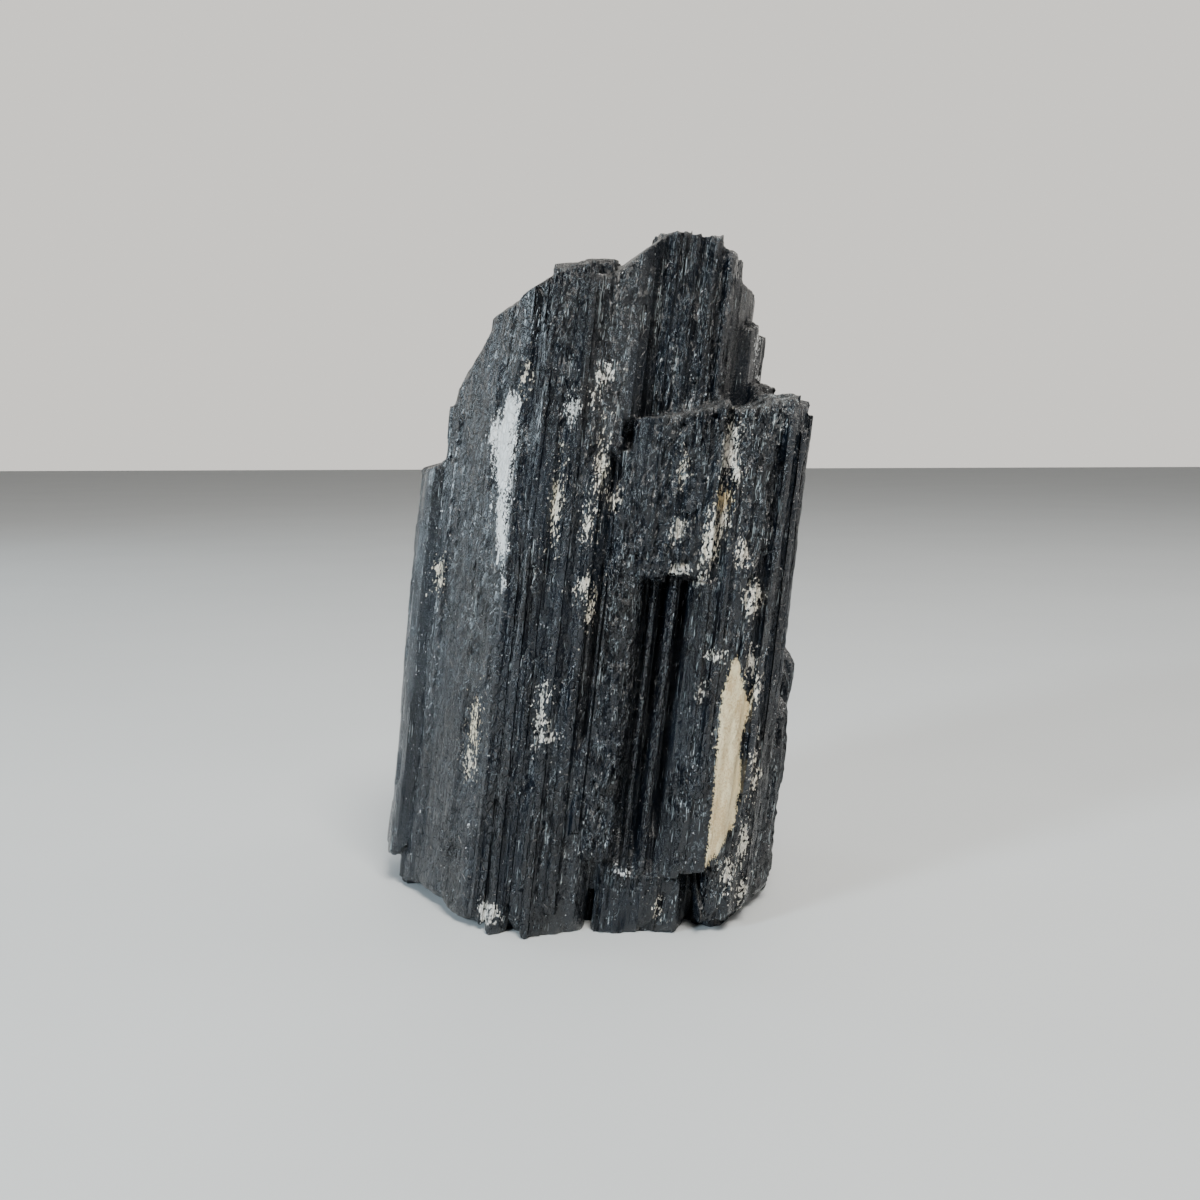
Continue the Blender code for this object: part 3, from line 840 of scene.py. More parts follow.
lumps = field(place, *LUMPS)
chips = CRUMB_SHARE * crumbs(place, *CRUMBS) + SMALL_CRUMB_SHARE * crumbs(place, *SMALL_CRUMBS)
print("chips from", chips.min().round(2), "to", chips.max().round(2), "grain depths")

# %% [markdown]
# ### The foot
# The stone rests on the flat cut under it, but at the rim the needles end raggedly, each with
# its own small curve. The wall is pulled in below the end of each needle, and the cut with it.

# %% The ragged rim of the foot
RIM_HEIGHT = 5.5  # up to where a needle's lower end may curve in
RIM_SLANT = 0.55
RIM_SQUEEZE = 6


def rim_cut():
    """How far the wall is pushed in near the ground: r (e - z) below the end e of each needle."""
    ends = RIM_HEIGHT * (0.5 + 0.5 * hashed(broad_needle, np.int64(1), np.int64(2), 5)) ** 1.5
    ends = blurred(ends[:, None], 1)
    return RIM_SLANT * np.maximum(ends - height, 0.0)


cut = rim_cut()
under = height <= 0.0
rim = np.where(under, distance, 0.0).max(axis=1, keepdims=True)
cut = np.where(under, cut * (distance / np.maximum(rim, 1.0)) ** RIM_SQUEEZE, cut)
print("rim cut back by up to", cut.max().round(2), "mm")

# %% [markdown]
# ### Putting it together
# The push is along the ray for walls and straight up for tops, so that the grid never folds.

# %% Pushing the skin in and out
PUSH_BIAS = 0.35  # relief goes further in than out, so that the stone keeps its size
COMB_REACH, COMB_WANDER = 1.4, 0.5
LUMP_SHARE = 0.6
GRAIN_GAIN, LEAST_GRAIN, MOST_GRAIN = 0.9, 0.25, 1.6
TOP_NEEDLES, TOP_GRAIN, TOP_SINK = 0.54, 0.6, 0.5  # breaks of a top, and how far they sink

patchy_grain = np.clip(GRAIN_GAIN + GRAIN_GAIN * patchy, LEAST_GRAIN, MOST_GRAIN)
grain = grain_depth * (LUMP_SHARE * lumps + chips) * patchy_grain
comb_push = COMB_REACH * needle_depth * (needles - PUSH_BIAS) * wall * (1.0 + COMB_WANDER * wander)
push = comb_push + (grain - PUSH_BIAS * grain_depth) * wall - cut
lift = (TOP_NEEDLES * needle_depth * (slim - TOP_SINK) + TOP_GRAIN * grain) * on_top
skin = skin + push[:, :, None] * outward
skin[:, :, 2] += lift
skin[:, :, 2] = np.where(under, 0.0, np.maximum(skin[:, :, 2], 0.0))
print("skin's size, mm:", np.ptp(skin.reshape(-1, 3), axis=0).round(1))

# %% [markdown]
# ## Other minerals
# Cream feldspar fills a seam in the front, and a white skin lies along the left face: partly a pale film,
# partly a painted reflection of the key window, bright white painted into the colour where the glossy face
# would mirror it. Smaller white flakes stick to the stone in streaks. They are all thin, so they are colour
# and a slight rise, not pieces. A band is kept by its left and right edge at a few heights, and a patch is
# an oval. What is kept at each point is how deep inside it lies, in millimetres: a shader can cut that off
# sharply and raggedly, much finer than the grid.

# %% Where the pale minerals are
# bands: height, left edge and right edge in the bundle's upright plan
CREAM_SEAM = [
    (15.0, 23.6, 23.9), (17.0, 23.5, 25.2), (19.5, 23.4, 26.6), (21.8, 23.3, 27.2),
    (23.2, 23.2, 28.8), (34.5, 23.1, 28.5), (40.2, 22.9, 27.6), (43.5, 22.8, 28.1),
    (48.3, 22.6, 28.4), (51.1, 22.5, 27.8), (53.1, 22.8, 26.3), (56.3, 23.3, 25.6),
    (59.2, 23.9, 24.5),
]
# The white skin's band on the left face: partly a pale film, partly a painted reflection of the key window.
WHITE_FILM_AND_GLARE = [
    (72.5, -24.7, -24.4), (75.7, -25.4, -24.6), (80.0, -26.6, -24.8), (84.4, -27.4, -25.1),
    (87.8, -28.2, -25.2), (91.5, -27.9, -25.1), (95.8, -29.1, -25.0), (99.3, -29.7, -25.0),
    (102.9, -30.6, -25.0), (107.1, -29.3, -25.0), (109.5, -28.2, -25.3), (111.4, -27.2, -25.8),
]
# patches: across, height, half width, half height, warmth of the colour
PATCHES = [
    (-24.4, 115.2, 0.6, 1.8, 0.5), (-13.7, 108.9, 1.3, 2.2, 0.1), (-9.2, 114.8, 1.1, 1.4, 0.2),
    (-7.2, 115.7, 0.9, 1.6, 0.2), (-15.0, 89.5, 0.9, 5.0, 0.5), (-7.1, 97.2, 0.8, 4.6, 0.4),
    (-8.2, 85.9, 0.7, 2.4, 0.4), (-40.2, 73.9, 1.0, 1.3, 0.6), (-39.7, 70.7, 0.9, 1.3, 0.6),
    (-10.0, 110.6, 0.8, 1.4, 0.3), (-3.4, 91.1, 0.8, 1.8, 0.4), (-7.8, 73.4, 1.1, 2.2, 0.4),
    (-5.9, 68.3, 0.8, 2.6, 0.5), (18.3, 100.7, 1.3, 5.0, 0.3), (20.0, 96.4, 1.0, 1.8, 0.3),
    (18.2, 90.4, 1.3, 1.9, 1.0), (16.4, 82.5, 1.3, 4.6, 0.4), (18.4, 86.5, 1.0, 2.2, 0.4),
    (11.1, 76.8, 2.7, 1.1, 0.3), (15.9, 74.5, 1.1, 2.2, 0.3), (9.6, 84.6, 0.8, 1.3, 0.3),
    (23.4, 121.7, 0.8, 3.4, 0.0), (25.4, 115.5, 0.9, 1.5, 0.0), (-27.7, 41.7, 1.0, 4.0, 0.7),
    (-27.8, 34.5, 0.8, 1.9, 0.5), (-13.5, 46.8, 1.1, 4.6, 0.3), (-11.6, 42.7, 2.4, 0.8, 0.2),
    (-20.5, 4.4, 2.2, 2.6, 0.2), (6.7, 13.2, 1.4, 0.7, 0.0), (14.5, 6.9, 0.8, 1.9, 0.4),
    (31.2, 36.5, 0.9, 2.7, 0.4), (32.6, 31.0, 0.9, 2.3, 0.4), (31.6, 18.0, 1.2, 3.2, 0.3),
    (29.0, 12.8, 1.2, 2.8, 0.3), (32.6, 7.7, 1.3, 2.8, 0.3), (29.4, 51.6, 0.6, 2.2, 0.4),
    (28.2, 57.5, 0.8, 1.8, 0.3), (20.3, 59.2, 1.7, 1.5, 0.3), (18.2, 52.0, 0.8, 1.3, 0.3),
    (23.0, 79.5, 1.1, 2.0, 0.4), (26.5, 70.5, 1.3, 2.6, 0.4), (9.0, 97.0, 0.7, 1.6, 0.4),
]
print("rows:", len(CREAM_SEAM), len(WHITE_FILM_AND_GLARE), len(PATCHES))

# %% [markdown]
# ### How deep inside a pale mineral a point is
# A depth is kept instead of yes or no, because the finish can then fray the border by as many
# millimetres as each mineral needs.

# %% Depth inside the pale minerals
SHOWN_FACE = 2.0  # bands and patches are on the part of the stone in front of this depth
FAR_OUT, DEEPEST = -3.0, 3.0


def band_depth(band, across, up):
    """How far inside a band's two edges and two ends a point is: the least, negative outside."""
    heights, lefts, rights = np.array(band).T
    inside = np.minimum(across - np.interp(up, heights, lefts), np.interp(up, heights, rights) - across)
    return np.minimum(inside, np.minimum(up - heights[0], heights[-1] - up))


def patch_depth(across, up):
    """Depth inside the nearest oval, (1 - r) times its half width, and how warm its colour is."""
    depth = np.full(across.shape, FAR_OUT)
    warmth = np.zeros(across.shape)
    for x, z, half_width, half_height, warm in PATCHES:
        radius = np.hypot((across - x) / half_width, (up - z) / half_height)
        inside = (1.0 - radius) * half_width
        warmth = np.where(inside > depth, warm, warmth)
        depth = np.maximum(depth, inside)
    return depth, warmth


def shown(depth):
    """A depth kept between its limits in front, and far out on the side that isn't shown."""
    return np.where(skin[:, :, 1] < SHOWN_FACE, np.clip(depth, FAR_OUT, DEEPEST), FAR_OUT)


across, up = skin[:, :, 0], skin[:, :, 2]
seam = shown(band_depth(CREAM_SEAM, across, up))
# The white skin is partly a painted reflection of the window, laid as bright white in the colour.
white = shown(band_depth(WHITE_FILM_AND_GLARE, across, up))
patches, warmth = patch_depth(across, up)
patches = shown(patches)
warmth = np.where(seam > -1.0, 1.0, warmth)
for name, depth in (("seam", seam), ("white skin", white), ("patches", patches)):
    print("points inside the", name + ":", int((depth > 0).sum()))

# %% [markdown]
# ### The seam's own face
# The cream mineral is one grainy filling, without the needles of the crystal round it. So the
# skin is evened out there and raised by a third of a millimetre.

# %% The seam stands a little proud, and its own face is even
SEAM_RISE = 0.35
SEAM_STEPS = 3
seam_share = np.clip(seam + 0.5, 0.0, 1.0)[:, :, None]
even = rounded_off(skin, SEAM_STEPS)
skin = skin + seam_share * (even - skin)
seam_push = SEAM_RISE * seam_share * (0.7 + 0.4 * chips[:, :, None])
skin = skin + seam_push * outward
print("seam rises by up to", seam_push.max().round(2), "mm")

# %% [markdown]
# ## One closed mesh
# The grid closes on itself round the stone. Its first and last rows are joined to one point
# each, under the foot and on the top, by fans of triangles. Then the lean is put in, x moved by
# a share of the height, and the middle of the solid's box is taken as the origin.

# %% Writing the mesh
def placed(points):
    """Upright plan to the part's frame: x gains the lean times z, and the box's middle comes off."""
    moved = points.copy()
    moved[..., 0] += LEAN * points[..., 2] - middle[0]
    moved[..., 1] -= middle[1]
    return moved * MM


def closed_grid(name, grid, foot, crown):
    """A mesh from a grid that is closed round its first axis and capped by a point at each end."""
    count, rows = grid.shape[:2]
    points = np.concatenate([grid.reshape(-1, 3), [foot, crown]])
    line = np.arange(count)
    after = np.roll(line, -1)
    low = line[:, None] * rows + np.arange(rows - 1)
    low_after = after[:, None] * rows + np.arange(rows - 1)
    quads = np.stack([low, low_after, low_after + 1, low + 1], axis=2).reshape(-1, 4)
    first, last = line * rows, line * rows + rows - 1
    first_after, last_after = after * rows, after * rows + rows - 1
    under_fan = np.stack([np.full(count, count * rows), first_after, first], axis=1)
    top_fan = np.stack([np.full(count, count * rows + 1), last, last_after], axis=1)
    loops = np.concatenate([quads.ravel(), under_fan.ravel(), top_fan.ravel()])
    sizes = np.concatenate([np.full(len(quads), 4), np.full(2 * count, 3)])
    mesh = bpy.data.meshes.new(name)
    mesh.vertices.add(len(points))
    mesh.vertices.foreach_set("co", points.ravel())
    mesh.loops.add(len(loops))
    mesh.loops.foreach_set("vertex_index", loops)
    mesh.polygons.add(len(sizes))
    mesh.polygons.foreach_set("loop_start", np.concatenate([[0], np.cumsum(sizes)[:-1]]))
    mesh.update(calc_edges=True)
    mesh.validate()
    return mesh


SHARP = math.radians(22.0)  # skin that bends more than this keeps a crisp edge
crown_height = max(top_at(made, *CENTRE) for made in columns if holds(made[0], *CENTRE))
foot_point = placed(np.array([*CENTRE, 0.0]))
crown_point = placed(np.array([*CENTRE, crown_height]))
stone_mesh = closed_grid("tourmaline_stone", placed(skin), foot_point, crown_point)
stone_mesh.polygons.foreach_set("use_smooth", np.ones(len(stone_mesh.polygons), bool))
stone_mesh.set_sharp_from_angle(angle=SHARP)
stone = bpy.data.objects.new("tourmaline_stone", stone_mesh)
bpy.context.scene.collection.objects.link(stone)
triangles = len(stone_mesh.loops) - 2 * len(stone_mesh.polygons)
print("stone:", len(stone_mesh.vertices), "points,", triangles, "triangles")

# %% [markdown]
# ### Numbers kept on the mesh
# The finish can't know which crystal it is on. What it needs is written to each point of the mesh by name:
# the depths, the share of crumbs, lines, and of flakes and painted glints, the dust and the roughness.

# %% The numbers that the finish reads
def keep(name, grid, at_ends):
    """A number at each point of the mesh, for a material to read by name."""
    values = np.concatenate([grid.ravel(), [at_ends, at_ends]]).astype(np.float32)
    stone_mesh.attributes.new(name, "FLOAT", "POINT").data.foreach_set("value", values)


hollow = np.clip(0.5 - 0.5 * needles - 0.4 * chips, 0.0, 1.0)
keep("seam_depth", seam, FAR_OUT)
keep("white_film_and_glare_depth", white, FAR_OUT)
keep("patch_depth", patches, FAR_OUT)
keep("warmth", warmth, 0.0)
keep("skin_roughness", roughness, 0.4)
keep("striped", np.clip(2.4 * needle_depth, 0.0, 1.3), 0.5)
keep("grainy", np.clip(grainy * (0.8 + 0.5 * patchy), 0.0, 1.0), 0.3)
# This share sets both the real white flakes and the painted glints, pale dashes painted along the threads.
keep("flecks_and_glints", flecks_and_glints * (0.75 + 0.5 * patchy), 0.3)
keep("dusty", np.clip(dusty + 0.5 * on_top + 0.1 * hollow, 0.0, 1.0), 0.3)
print("kept", [a.name for a in stone_mesh.attributes if a.data_type == "FLOAT"])

# %% [markdown]
# ## A finish written as sums
# A material is a graph of nodes, and long chains of them are hard to read. Here a small class
# stands for one value in the graph, so that a sum on values adds the nodes for it, and a bench
# has the one method that puts any other node in.

# %% The shader bench
class Value:
    """One value in a material's graph. Arithmetic on it adds Math nodes."""

    def __init__(self, bench, socket):
        self.bench, self.socket = bench, socket

    def maths(self, operation, left, right):
        return self.bench.node("ShaderNodeMath", {"operation": operation}, {0: left, 1: right})

    def __add__(self, other):
        return self.maths("ADD", self, other)

    def __radd__(self, other):
        return self.maths("ADD", other, self)

    def __sub__(self, other):
        return self.maths("SUBTRACT", self, other)

    def __rsub__(self, other):
        return self.maths("SUBTRACT", other, self)

    def __mul__(self, other):
        return self.maths("MULTIPLY", self, other)

    def __rmul__(self, other):
        return self.maths("MULTIPLY", other, self)

    def between(self, low, high):
        """0 at low and under, 1 at high and over, and smooth between."""
        ends = {"Value": self, "From Min": low, "From Max": high}
        return self.bench.node("ShaderNodeMapRange", {"interpolation_type": "SMOOTHSTEP"}, ends)

    def other(self, output):
        """Another output of the node that this value comes from."""
        return Value(self.bench, self.socket.node.outputs[output])


class Bench:
    """The graph of a material or a world, with a method that puts a node of any type into it."""

    def __init__(self, owner, shader="Principled BSDF"):
        owner.use_nodes = True
        self.tree = owner.node_tree
        self.shader = self.tree.nodes[shader]

    def node(self, kind, settings=None, sockets=None, output=0):
        """A new node: its type, then its settings, then a value or a link for each socket named."""
        made = self.tree.nodes.new(kind)
        for name, setting in (settings or {}).items():
            setattr(made, name, setting)
        for name, value in (sockets or {}).items():
            self.plug(made.inputs[name], value)
        return Value(self, made.outputs[output])

    def plug(self, socket, value):
        if isinstance(value, Value):
            self.tree.links.new(value.socket, socket)
        else:
            socket.default_value = value

    def feed(self, name, value):
        """A value or a link for one of the shader's own sockets."""
        self.plug(self.shader.inputs[name], value)

    def attribute(self, name):
        """A number that was kept on the mesh."""
        return self.node("ShaderNodeAttribute", {"attribute_name": name}, output="Fac")

    def noise(self, where, scale, detail=3.0, roughness=0.55):
        sockets = {"Vector": where, "Scale": scale, "Detail": detail, "Roughness": roughness}
        return self.node("ShaderNodeTexNoise", {}, sockets)

    def vectors(self, operation, left, right, output=0):
        return self.node("ShaderNodeVectorMath", {"operation": operation}, {0: left, 1: right}, output)

    def blend(self, share, first, second):
        """From the first colour to the second by a share."""
        return self.node("ShaderNodeMix", {"data_type": "RGBA"}, {0: share, 6: first, 7: second}, 2)


finish = bpy.data.materials.new("black_tourmaline_finish")
bench = Bench(finish)
print("a new graph has", len(bench.tree.nodes), "nodes")

# %% [markdown]
# ## Relief finer than the mesh
# Patterns carry on where the mesh stops. Striae and threads are noise drawn out along the
# crystals. Facets are cells of which each is a small flat face with its own tilt, so that it
# catches the light by itself, as crushed crystal does. Cracks are the borders of larger cells,
# for the smooth faces, swells bend what those mirror, and grit roughens it all. Everything is
# measured on the stone, in millimetres, with the lean taken off, so that it follows the
# crystals on every side.

# %% Where a point is on the stone
spot = bench.node("ShaderNodeTexCoord", output="Object")
parts = bench.node("ShaderNodeSeparateXYZ", {}, {0: spot})
x_mm, y_mm, z_mm = (parts.other(axis) * 1000.0 for axis in "XYZ")
upright_x = x_mm - LEAN * z_mm


def drawn_out(share):
    """The place on the stone in millimetres, with heights shrunk so that patterns run upwards."""
    return bench.node("ShaderNodeCombineXYZ", {}, {0: upright_x, 1: y_mm, 2: share * z_mm})


print("the lean is taken off, so that patterns run along the crystals")

# %% [markdown]
# ### Facets and cracks
# Both come from the same cell pattern. Its colour is a random number for each cell, and its
# position is where the cell's middle is, so a tilted plane for each cell is one dot product.

# %% Facets and cracks
CRACK_WIDTH = 0.09  # as a share of a cell


def facets(where, cells_per_mm):
    """Each cell's own tilt: its colour, as a direction, times the offset from its middle."""
    cell = bench.node("ShaderNodeTexVoronoi", {}, {"Vector": where, "Scale": cells_per_mm}, "Color")
    middle_out = bench.vectors("SUBTRACT", where, cell.other("Position"))
    tilt = bench.vectors("SUBTRACT", cell, (0.5, 0.5, 0.5))
    return bench.vectors("DOT_PRODUCT", middle_out, tilt, "Value")


def crackle(where, cells_per_mm):
    """1 over a cell and 0 on its border."""
    sockets = {"Vector": where, "Scale": cells_per_mm}
    border = bench.node("ShaderNodeTexVoronoi", {"feature": "DISTANCE_TO_EDGE"}, sockets, "Distance")
    return border.between(0.0, CRACK_WIDTH)


print("facets and cracks are ready")

# %% [markdown]
# ### The patterns
# Each has its own size: swells of three millimetres, facets of one and a half, striae and grit
# of a third and less. Sizes that are far apart keep the skin from looking like one noise.

# %% All the patterns
# share of the height that is kept, features to the millimetre, then layers and how they fade
striae = bench.noise(drawn_out(0.035), 1.6, 4.0, 0.62)
threads = bench.noise(drawn_out(0.045), 4.6, 2.0, 0.5)
grit = bench.noise(drawn_out(0.7), 3.4, 4.0, 0.65)
swell = bench.noise(drawn_out(0.5), 0.3, 2.0, 0.5)
clouds = bench.noise(drawn_out(0.4), 0.11, 4.0, 0.6)
drift = bench.noise(drawn_out(0.3), 0.45, 3.0, 0.6)
coarse_facets = facets(drawn_out(0.6), 0.95)
fine_facets = facets(drawn_out(0.7), 2.2)
cells = crackle(drawn_out(0.6), 0.8)
print("patterns from", len(bench.tree.nodes), "nodes")

# %% [markdown]
# ## Where the white minerals lie
# Flakes are drawn from a noise, so that they cluster and run upwards. In a patch the same grains lie much
# closer, which is why its edge is a scatter and not a line. The seam and the white skin have real edges:
# their depth in the surface, made ragged by the grit, is cut off sharply. The white skin is partly a pale
# film and partly a painted reflection of the key window on the glossy left face.

# %% Flakes, skin and seam
FLAKE_LEVEL = 0.74  # how high the noise has to rise for a flake
PATCH_HALO, PATCH_HEART = 0.17, 0.085  # how much lower that is round a patch, and in it
WHITE_FRAY, WHITE_LOBES = 6.5, 7.0  # how far the white skin's edge frays and wanders, in mm
SEAM_FRAY, SEAM_LOBES = 2.2, 1.0

flakes = bench.noise(drawn_out(0.5), 2.0, 3.0, 0.6)
scatter = flakes + 0.07 * bench.attribute("flecks_and_glints") + 0.30 * (drift - 0.5) + 0.20 * (clouds - 0.5)
patch_here = bench.attribute("patch_depth")
closer = PATCH_HALO * patch_here.between(-2.2, 0.6) + PATCH_HEART * patch_here.between(-0.2, 0.9)
in_flakes = (scatter + closer - FLAKE_LEVEL).between(0.0, 0.025)
ragged = 1.0 * (grit - 0.5) + 0.8 * (flakes - 0.5)
in_white_film_and_glare = bench.attribute("white_film_and_glare_depth") + WHITE_FRAY * ragged + WHITE_LOBES * (drift - 0.5) - 0.1
in_white_film_and_glare = in_white_film_and_glare.between(0.0, 0.12)
in_seam = bench.attribute("seam_depth") + SEAM_FRAY * ragged + SEAM_LOBES * (drift - 0.5)
in_seam = in_seam.between(0.0, 0.10)
print("minerals from", len(bench.tree.nodes), "nodes")

# %% [markdown]
# ## The relief
# Each skin has its share of lines and of crumbs, kept on the mesh. The seam is neither: it is
# sugary, with pits. One bump at the end turns the sum, in millimetres, into slopes.

# %% Lines, crumbs and swells in one height
STRIAE_DEPTH, THREAD_DEPTH = 0.46, 0.16
COARSE_FACETS, FINE_FACETS = 0.75, 0.85
CRACK_DEPTH, GRIT_DEPTH, SWELL_DEPTH = 0.24, 0.18, 0.9
crumbly = (bench.attribute("grainy") + 1.2 * (drift - 0.5)).between(0.15, 0.6)
lined = (STRIAE_DEPTH * striae + THREAD_DEPTH * threads) * bench.attribute("striped")
crushed = COARSE_FACETS * coarse_facets + FINE_FACETS * fine_facets
crazed = (0.55 - bench.attribute("striped")).between(0.0, 0.25)
smooth_face = 0.25 * FINE_FACETS * fine_facets * (1.0 - 0.6 * crazed) + CRACK_DEPTH * cells * crazed
smooth_face = smooth_face + SWELL_DEPTH * swell * (0.6 + 1.6 * crazed)
stone_relief = lined * (1.0 - 0.4 * crumbly) + crushed * crumbly + smooth_face
relief = stone_relief * (1.0 - 0.5 * in_seam) + GRIT_DEPTH * grit * (1.0 + 1.4 * in_seam)
bump = bench.node("ShaderNodeBump", {}, {"Strength": 1.0, "Distance": MM, "Height": relief})
bench.feed("Normal", bump)
print("relief from", len(bench.tree.nodes), "nodes")

# %% [markdown]
# ## Colour and gloss
# Tourmaline's black is nearly the same all over: what the eye reads is gloss. Dust and weathering make it
# greyer on the broken tops, and fine pale dashes along the threads are painted glints, highlights of the
# striae painted into the colour. The colours are laid over each other by the shares above, the seam last.

# %% Black, dust, white and cream
BLACK, BLUE_BLACK = (0.0012, 0.0020, 0.0040, 1), (0.0025, 0.0065, 0.0135, 1)
# In the next line, the second colour is a painted glint: a pale grey-blue highlight painted where striae
# would catch the window.
DUST, PAINTED_GLINT = (0.085, 0.083, 0.080, 1), (0.38, 0.44, 0.46, 1)
WHITE, GREY_WHITE = (0.92, 0.93, 0.93, 1), (0.45, 0.46, 0.47, 1)
CREAM, DEEP_CREAM = (0.92, 0.79, 0.50, 1), (0.66, 0.48, 0.25, 1)
SPECK = (0.07, 0.06, 0.05, 1)
PAINTED_GLINT_LEVEL, PAINTED_GLINT_SHARE = 0.715, 0.75
COVER_ROUGHNESS = 0.75  # of flakes and seam
TOURMALINE_IOR = 1.64

black = bench.blend((clouds + 0.6 * (grit - 0.5)).between(0.35, 0.7), BLACK, BLUE_BLACK)
dust = (bench.attribute("dusty") + 1.0 * (grit - 0.5) + 0.7 * (drift - 0.5)).between(0.25, 1.0)
# Pale dashes along the threads are painted glints: a highlight painted into the colour, not a mineral.
painted_glints = threads + 0.10 * bench.attribute("flecks_and_glints") - PAINTED_GLINT_LEVEL + 0.6 * (drift - 0.5)
painted_glints = painted_glints.between(0.0, 0.07) * (1.0 - 0.8 * crazed)
dark = bench.blend(PAINTED_GLINT_SHARE * painted_glints, bench.blend(dust, black, DUST), PAINTED_GLINT)
white = bench.blend(grit.between(0.35, 0.6), GREY_WHITE, WHITE)
cream = bench.blend((grit + 0.9 * (drift - 0.5)).between(0.34, 0.62), DEEP_CREAM, CREAM)
warm = bench.blend(bench.attribute("warmth"), white, cream)
speckled = bench.blend(grit.between(0.655, 0.71), warm, SPECK)
flaked = bench.blend(in_flakes, dark, warm)
# The white skin is laid in as bright white: partly a pale film, partly a painted reflection of the key
# window on the glossy left face.
with_white_film_and_glare = bench.blend(in_white_film_and_glare, flaked, WHITE)
bench.feed("Base Color", bench.blend(in_seam, with_white_film_and_glare, speckled))

dullness = 0.40 * bench.attribute("skin_roughness") + 0.30 * (grit - 0.5) + 0.15 * (clouds - 0.5)
dullness = dullness + 0.25 * dust
covered = bench.node("ShaderNodeMath", {"operation": "MAXIMUM"}, {0: in_flakes, 1: in_seam})
bench.feed("Roughness", dullness + covered * (COVER_ROUGHNESS - dullness))
bench.feed("Metallic", 0.0)
bench.feed("IOR", TOURMALINE_IOR)
stone_mesh.materials.append(finish)
print("finish:", len(bench.tree.nodes), "nodes")

# %% [markdown]
# ## How the stone takes its place
# It rides with the part's one body, and stands for the one node of the solid.

# %% Tie the stone to the frame
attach(stone, "root")
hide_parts("tourmaline")
print("the stone rides on root")

# %% [markdown]
# ## Floor, light and camera
# The floor is plain and pale, and so is the room, brighter behind the stone than in front of it.
# A big soft window stands to the left, slightly behind, as a stone like this needs: its black
# faces only show by what they mirror.

# %% The pale floor
FLOOR_HALF = 3.0
FLOOR_COLOURS = ((0.59, 0.61, 0.62, 1), (0.65, 0.67, 0.68, 1))
FLOOR_CLOUDS, FLOOR_ROUGHNESS = 9.0, 0.6


def pale_floor():
    """A level square round the origin, a little uneven in colour."""
    mesh = bpy.data.meshes.new("floor")
    half = FLOOR_HALF
    corners = [(-half, -half, 0), (half, -half, 0), (half, half, 0), (-half, half, 0)]
    mesh.from_pydata(corners, [], [(0, 1, 2, 3)])
    made = bpy.data.objects.new("floor", mesh)
    bpy.context.scene.collection.objects.link(made)
    paint = bpy.data.materials.new("floor_paint")
    mesh.materials.append(paint)
    coat = Bench(paint)
    where = coat.node("ShaderNodeTexCoord", output="Object")
    coat.feed("Base Color", coat.blend(coat.noise(where, FLOOR_CLOUDS), *FLOOR_COLOURS))
    coat.feed("Roughness", FLOOR_ROUGHNESS)
    return made


pale_floor()
print("floor:", 2 * FLOOR_HALF, "m square")

# %% [markdown]
# ### The light
# A key window at the left and slightly behind makes the sheen on the left faces, a small one in
# front at the left makes the crumbs glint, and a high one lights the pale minerals, since what
# it mirrors goes down to the floor. A weak warm light lifts the right side.

# %% Soft light
HEART = (0.0, 0.0, 0.07)  # what the lights are aimed at
WIDE, NARROW = math.pi, math.radians(100.0)  # how widely a window shines
ROOM_DIM, ROOM_BRIGHT = (0.052, 0.060, 0.066, 1), (1.02, 0.99, 0.93, 1)
BRIGHT_SIDE = (0.05, 1.0, 0.0)
DIM_UP_TO, BRIGHT_FROM = 0.3, 0.85
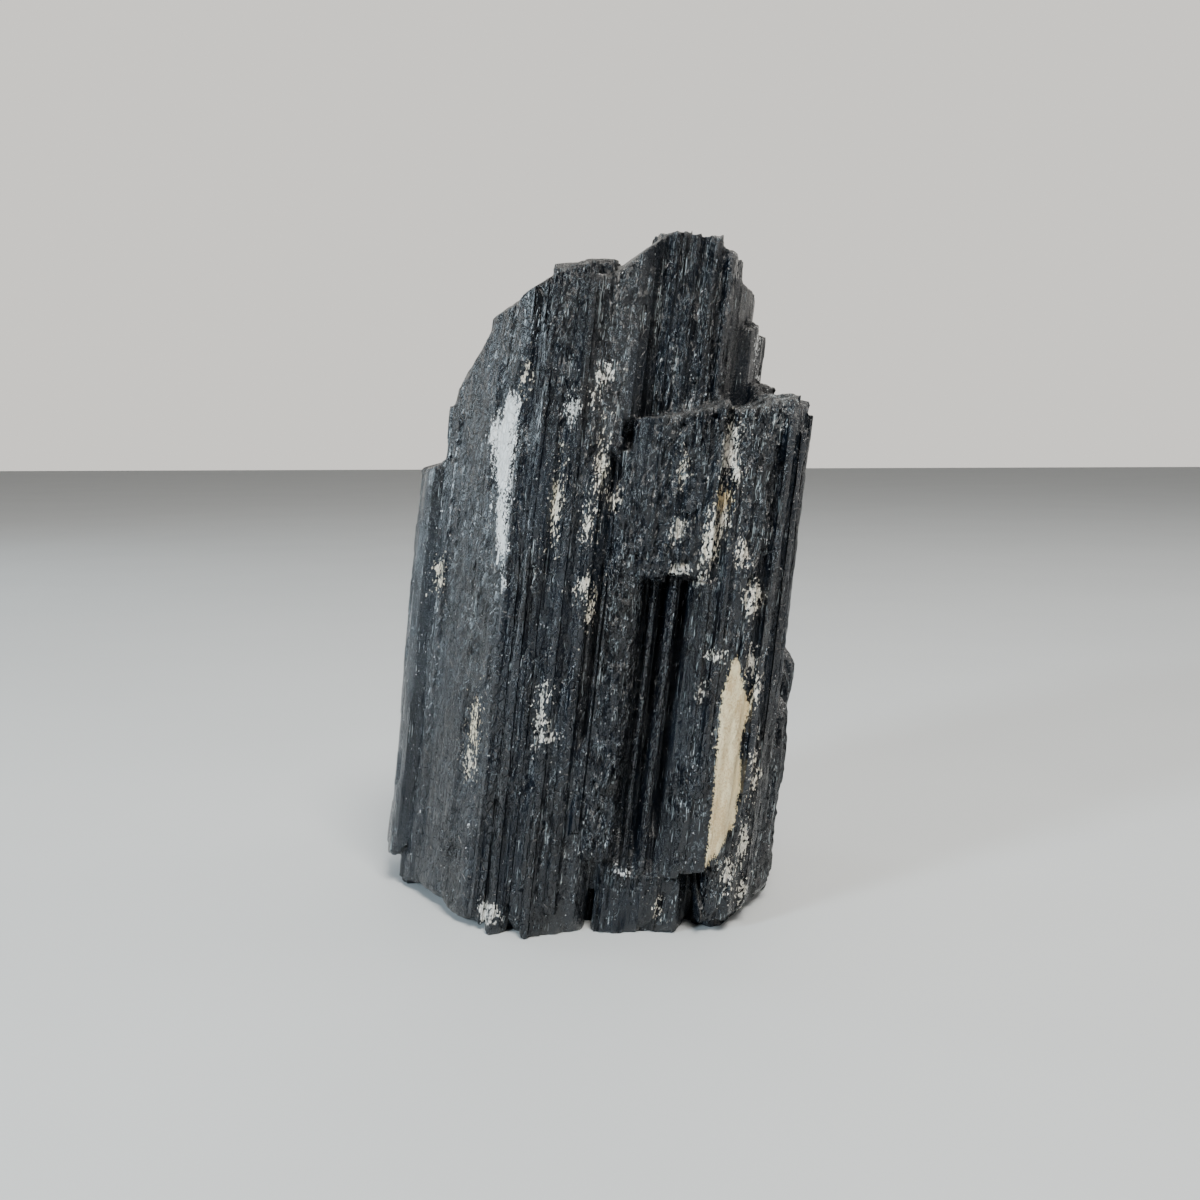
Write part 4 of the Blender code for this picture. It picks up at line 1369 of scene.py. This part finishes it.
# place, width, height, power, colour and spread
WINDOWS = {
    "key_window": ((-0.98, 0.56, 0.28), 0.24, 0.40, 3.4, (0.74, 0.90, 1.0), WIDE),
    "front_left": ((-0.80, -0.80, 0.50), 0.20, 0.22, 3.3, (0.76, 0.91, 1.0), NARROW),
    "high_front": ((0.25, -0.75, 1.25), 0.5, 0.5, 7.4, (1.0, 0.97, 0.90), NARROW),
    "right_fill": ((1.2, 0.2, 0.5), 0.6, 0.9, 4.0, (1.0, 0.95, 0.9), WIDE),
    "overhead": ((0.1, 0.1, 1.6), 1.4, 1.4, 8.0, (1.0, 0.99, 0.97), WIDE),
}


def window(name, place, width, tall, power, colour, spread):
    """A rectangle of light at a place, turned to face the stone."""
    light = bpy.data.lights.new(name, "AREA")
    light.shape = "RECTANGLE"
    light.size, light.size_y = width, tall
    light.energy = power
    light.color = colour
    light.spread = spread
    made = bpy.data.objects.new(name, light)
    bpy.context.scene.collection.objects.link(made)
    made.location = place
    away = np.array(HEART) - np.array(place)
    tilt = math.atan2(math.hypot(away[0], away[1]), -away[2])
    made.rotation_euler = (tilt, 0.0, math.atan2(away[1], away[0]) - math.pi / 2)


def room():
    """A sky that is brighter towards the back: its share is the direction's part that way."""
    world = bpy.data.worlds.new("room")
    bpy.context.scene.world = world
    sky = Bench(world, "Background")
    direction = sky.node("ShaderNodeTexCoord", output="Generated")
    share = sky.vectors("DOT_PRODUCT", direction, BRIGHT_SIDE, "Value")
    sky.feed("Color", sky.blend(share.between(DIM_UP_TO, BRIGHT_FROM), ROOM_DIM, ROOM_BRIGHT))


room()
for name, light in WINDOWS.items():
    window(name, *light)
print(len(WINDOWS), "soft lights")

# %% [markdown]
# ### The camera
# It stands where the photo was taken from: in front, a little over the middle of the stone, and
# looking down by seven degrees. The place and the stone's size were worked out together, since
# a small stone close by and a large one far off fill the same picture.

# %% The camera, where the photo was taken from
CAMERA_PLACE = (4.0, -337.0, 106.0)  # over the stone's upright plan, in millimetres
CAMERA_PITCH, CAMERA_ROLL = 0.1207, 0.0035
CAMERA_LENS, CAMERA_SENSOR = 44.1, 36.0
camera_data = bpy.data.cameras.new("camera")
camera_data.lens = CAMERA_LENS
camera_data.sensor_width = CAMERA_SENSOR
camera_data.clip_start = 0.01
camera = bpy.data.objects.new("camera", camera_data)
bpy.context.scene.collection.objects.link(camera)
camera.location = (np.array(CAMERA_PLACE) - (middle[0], middle[1], 0.0)) * MM
camera.rotation_euler = (math.pi / 2 - CAMERA_PITCH, CAMERA_ROLL, 0.0)
bpy.context.scene.camera = camera
print("camera at, m:", [round(c, 4) for c in camera.location])
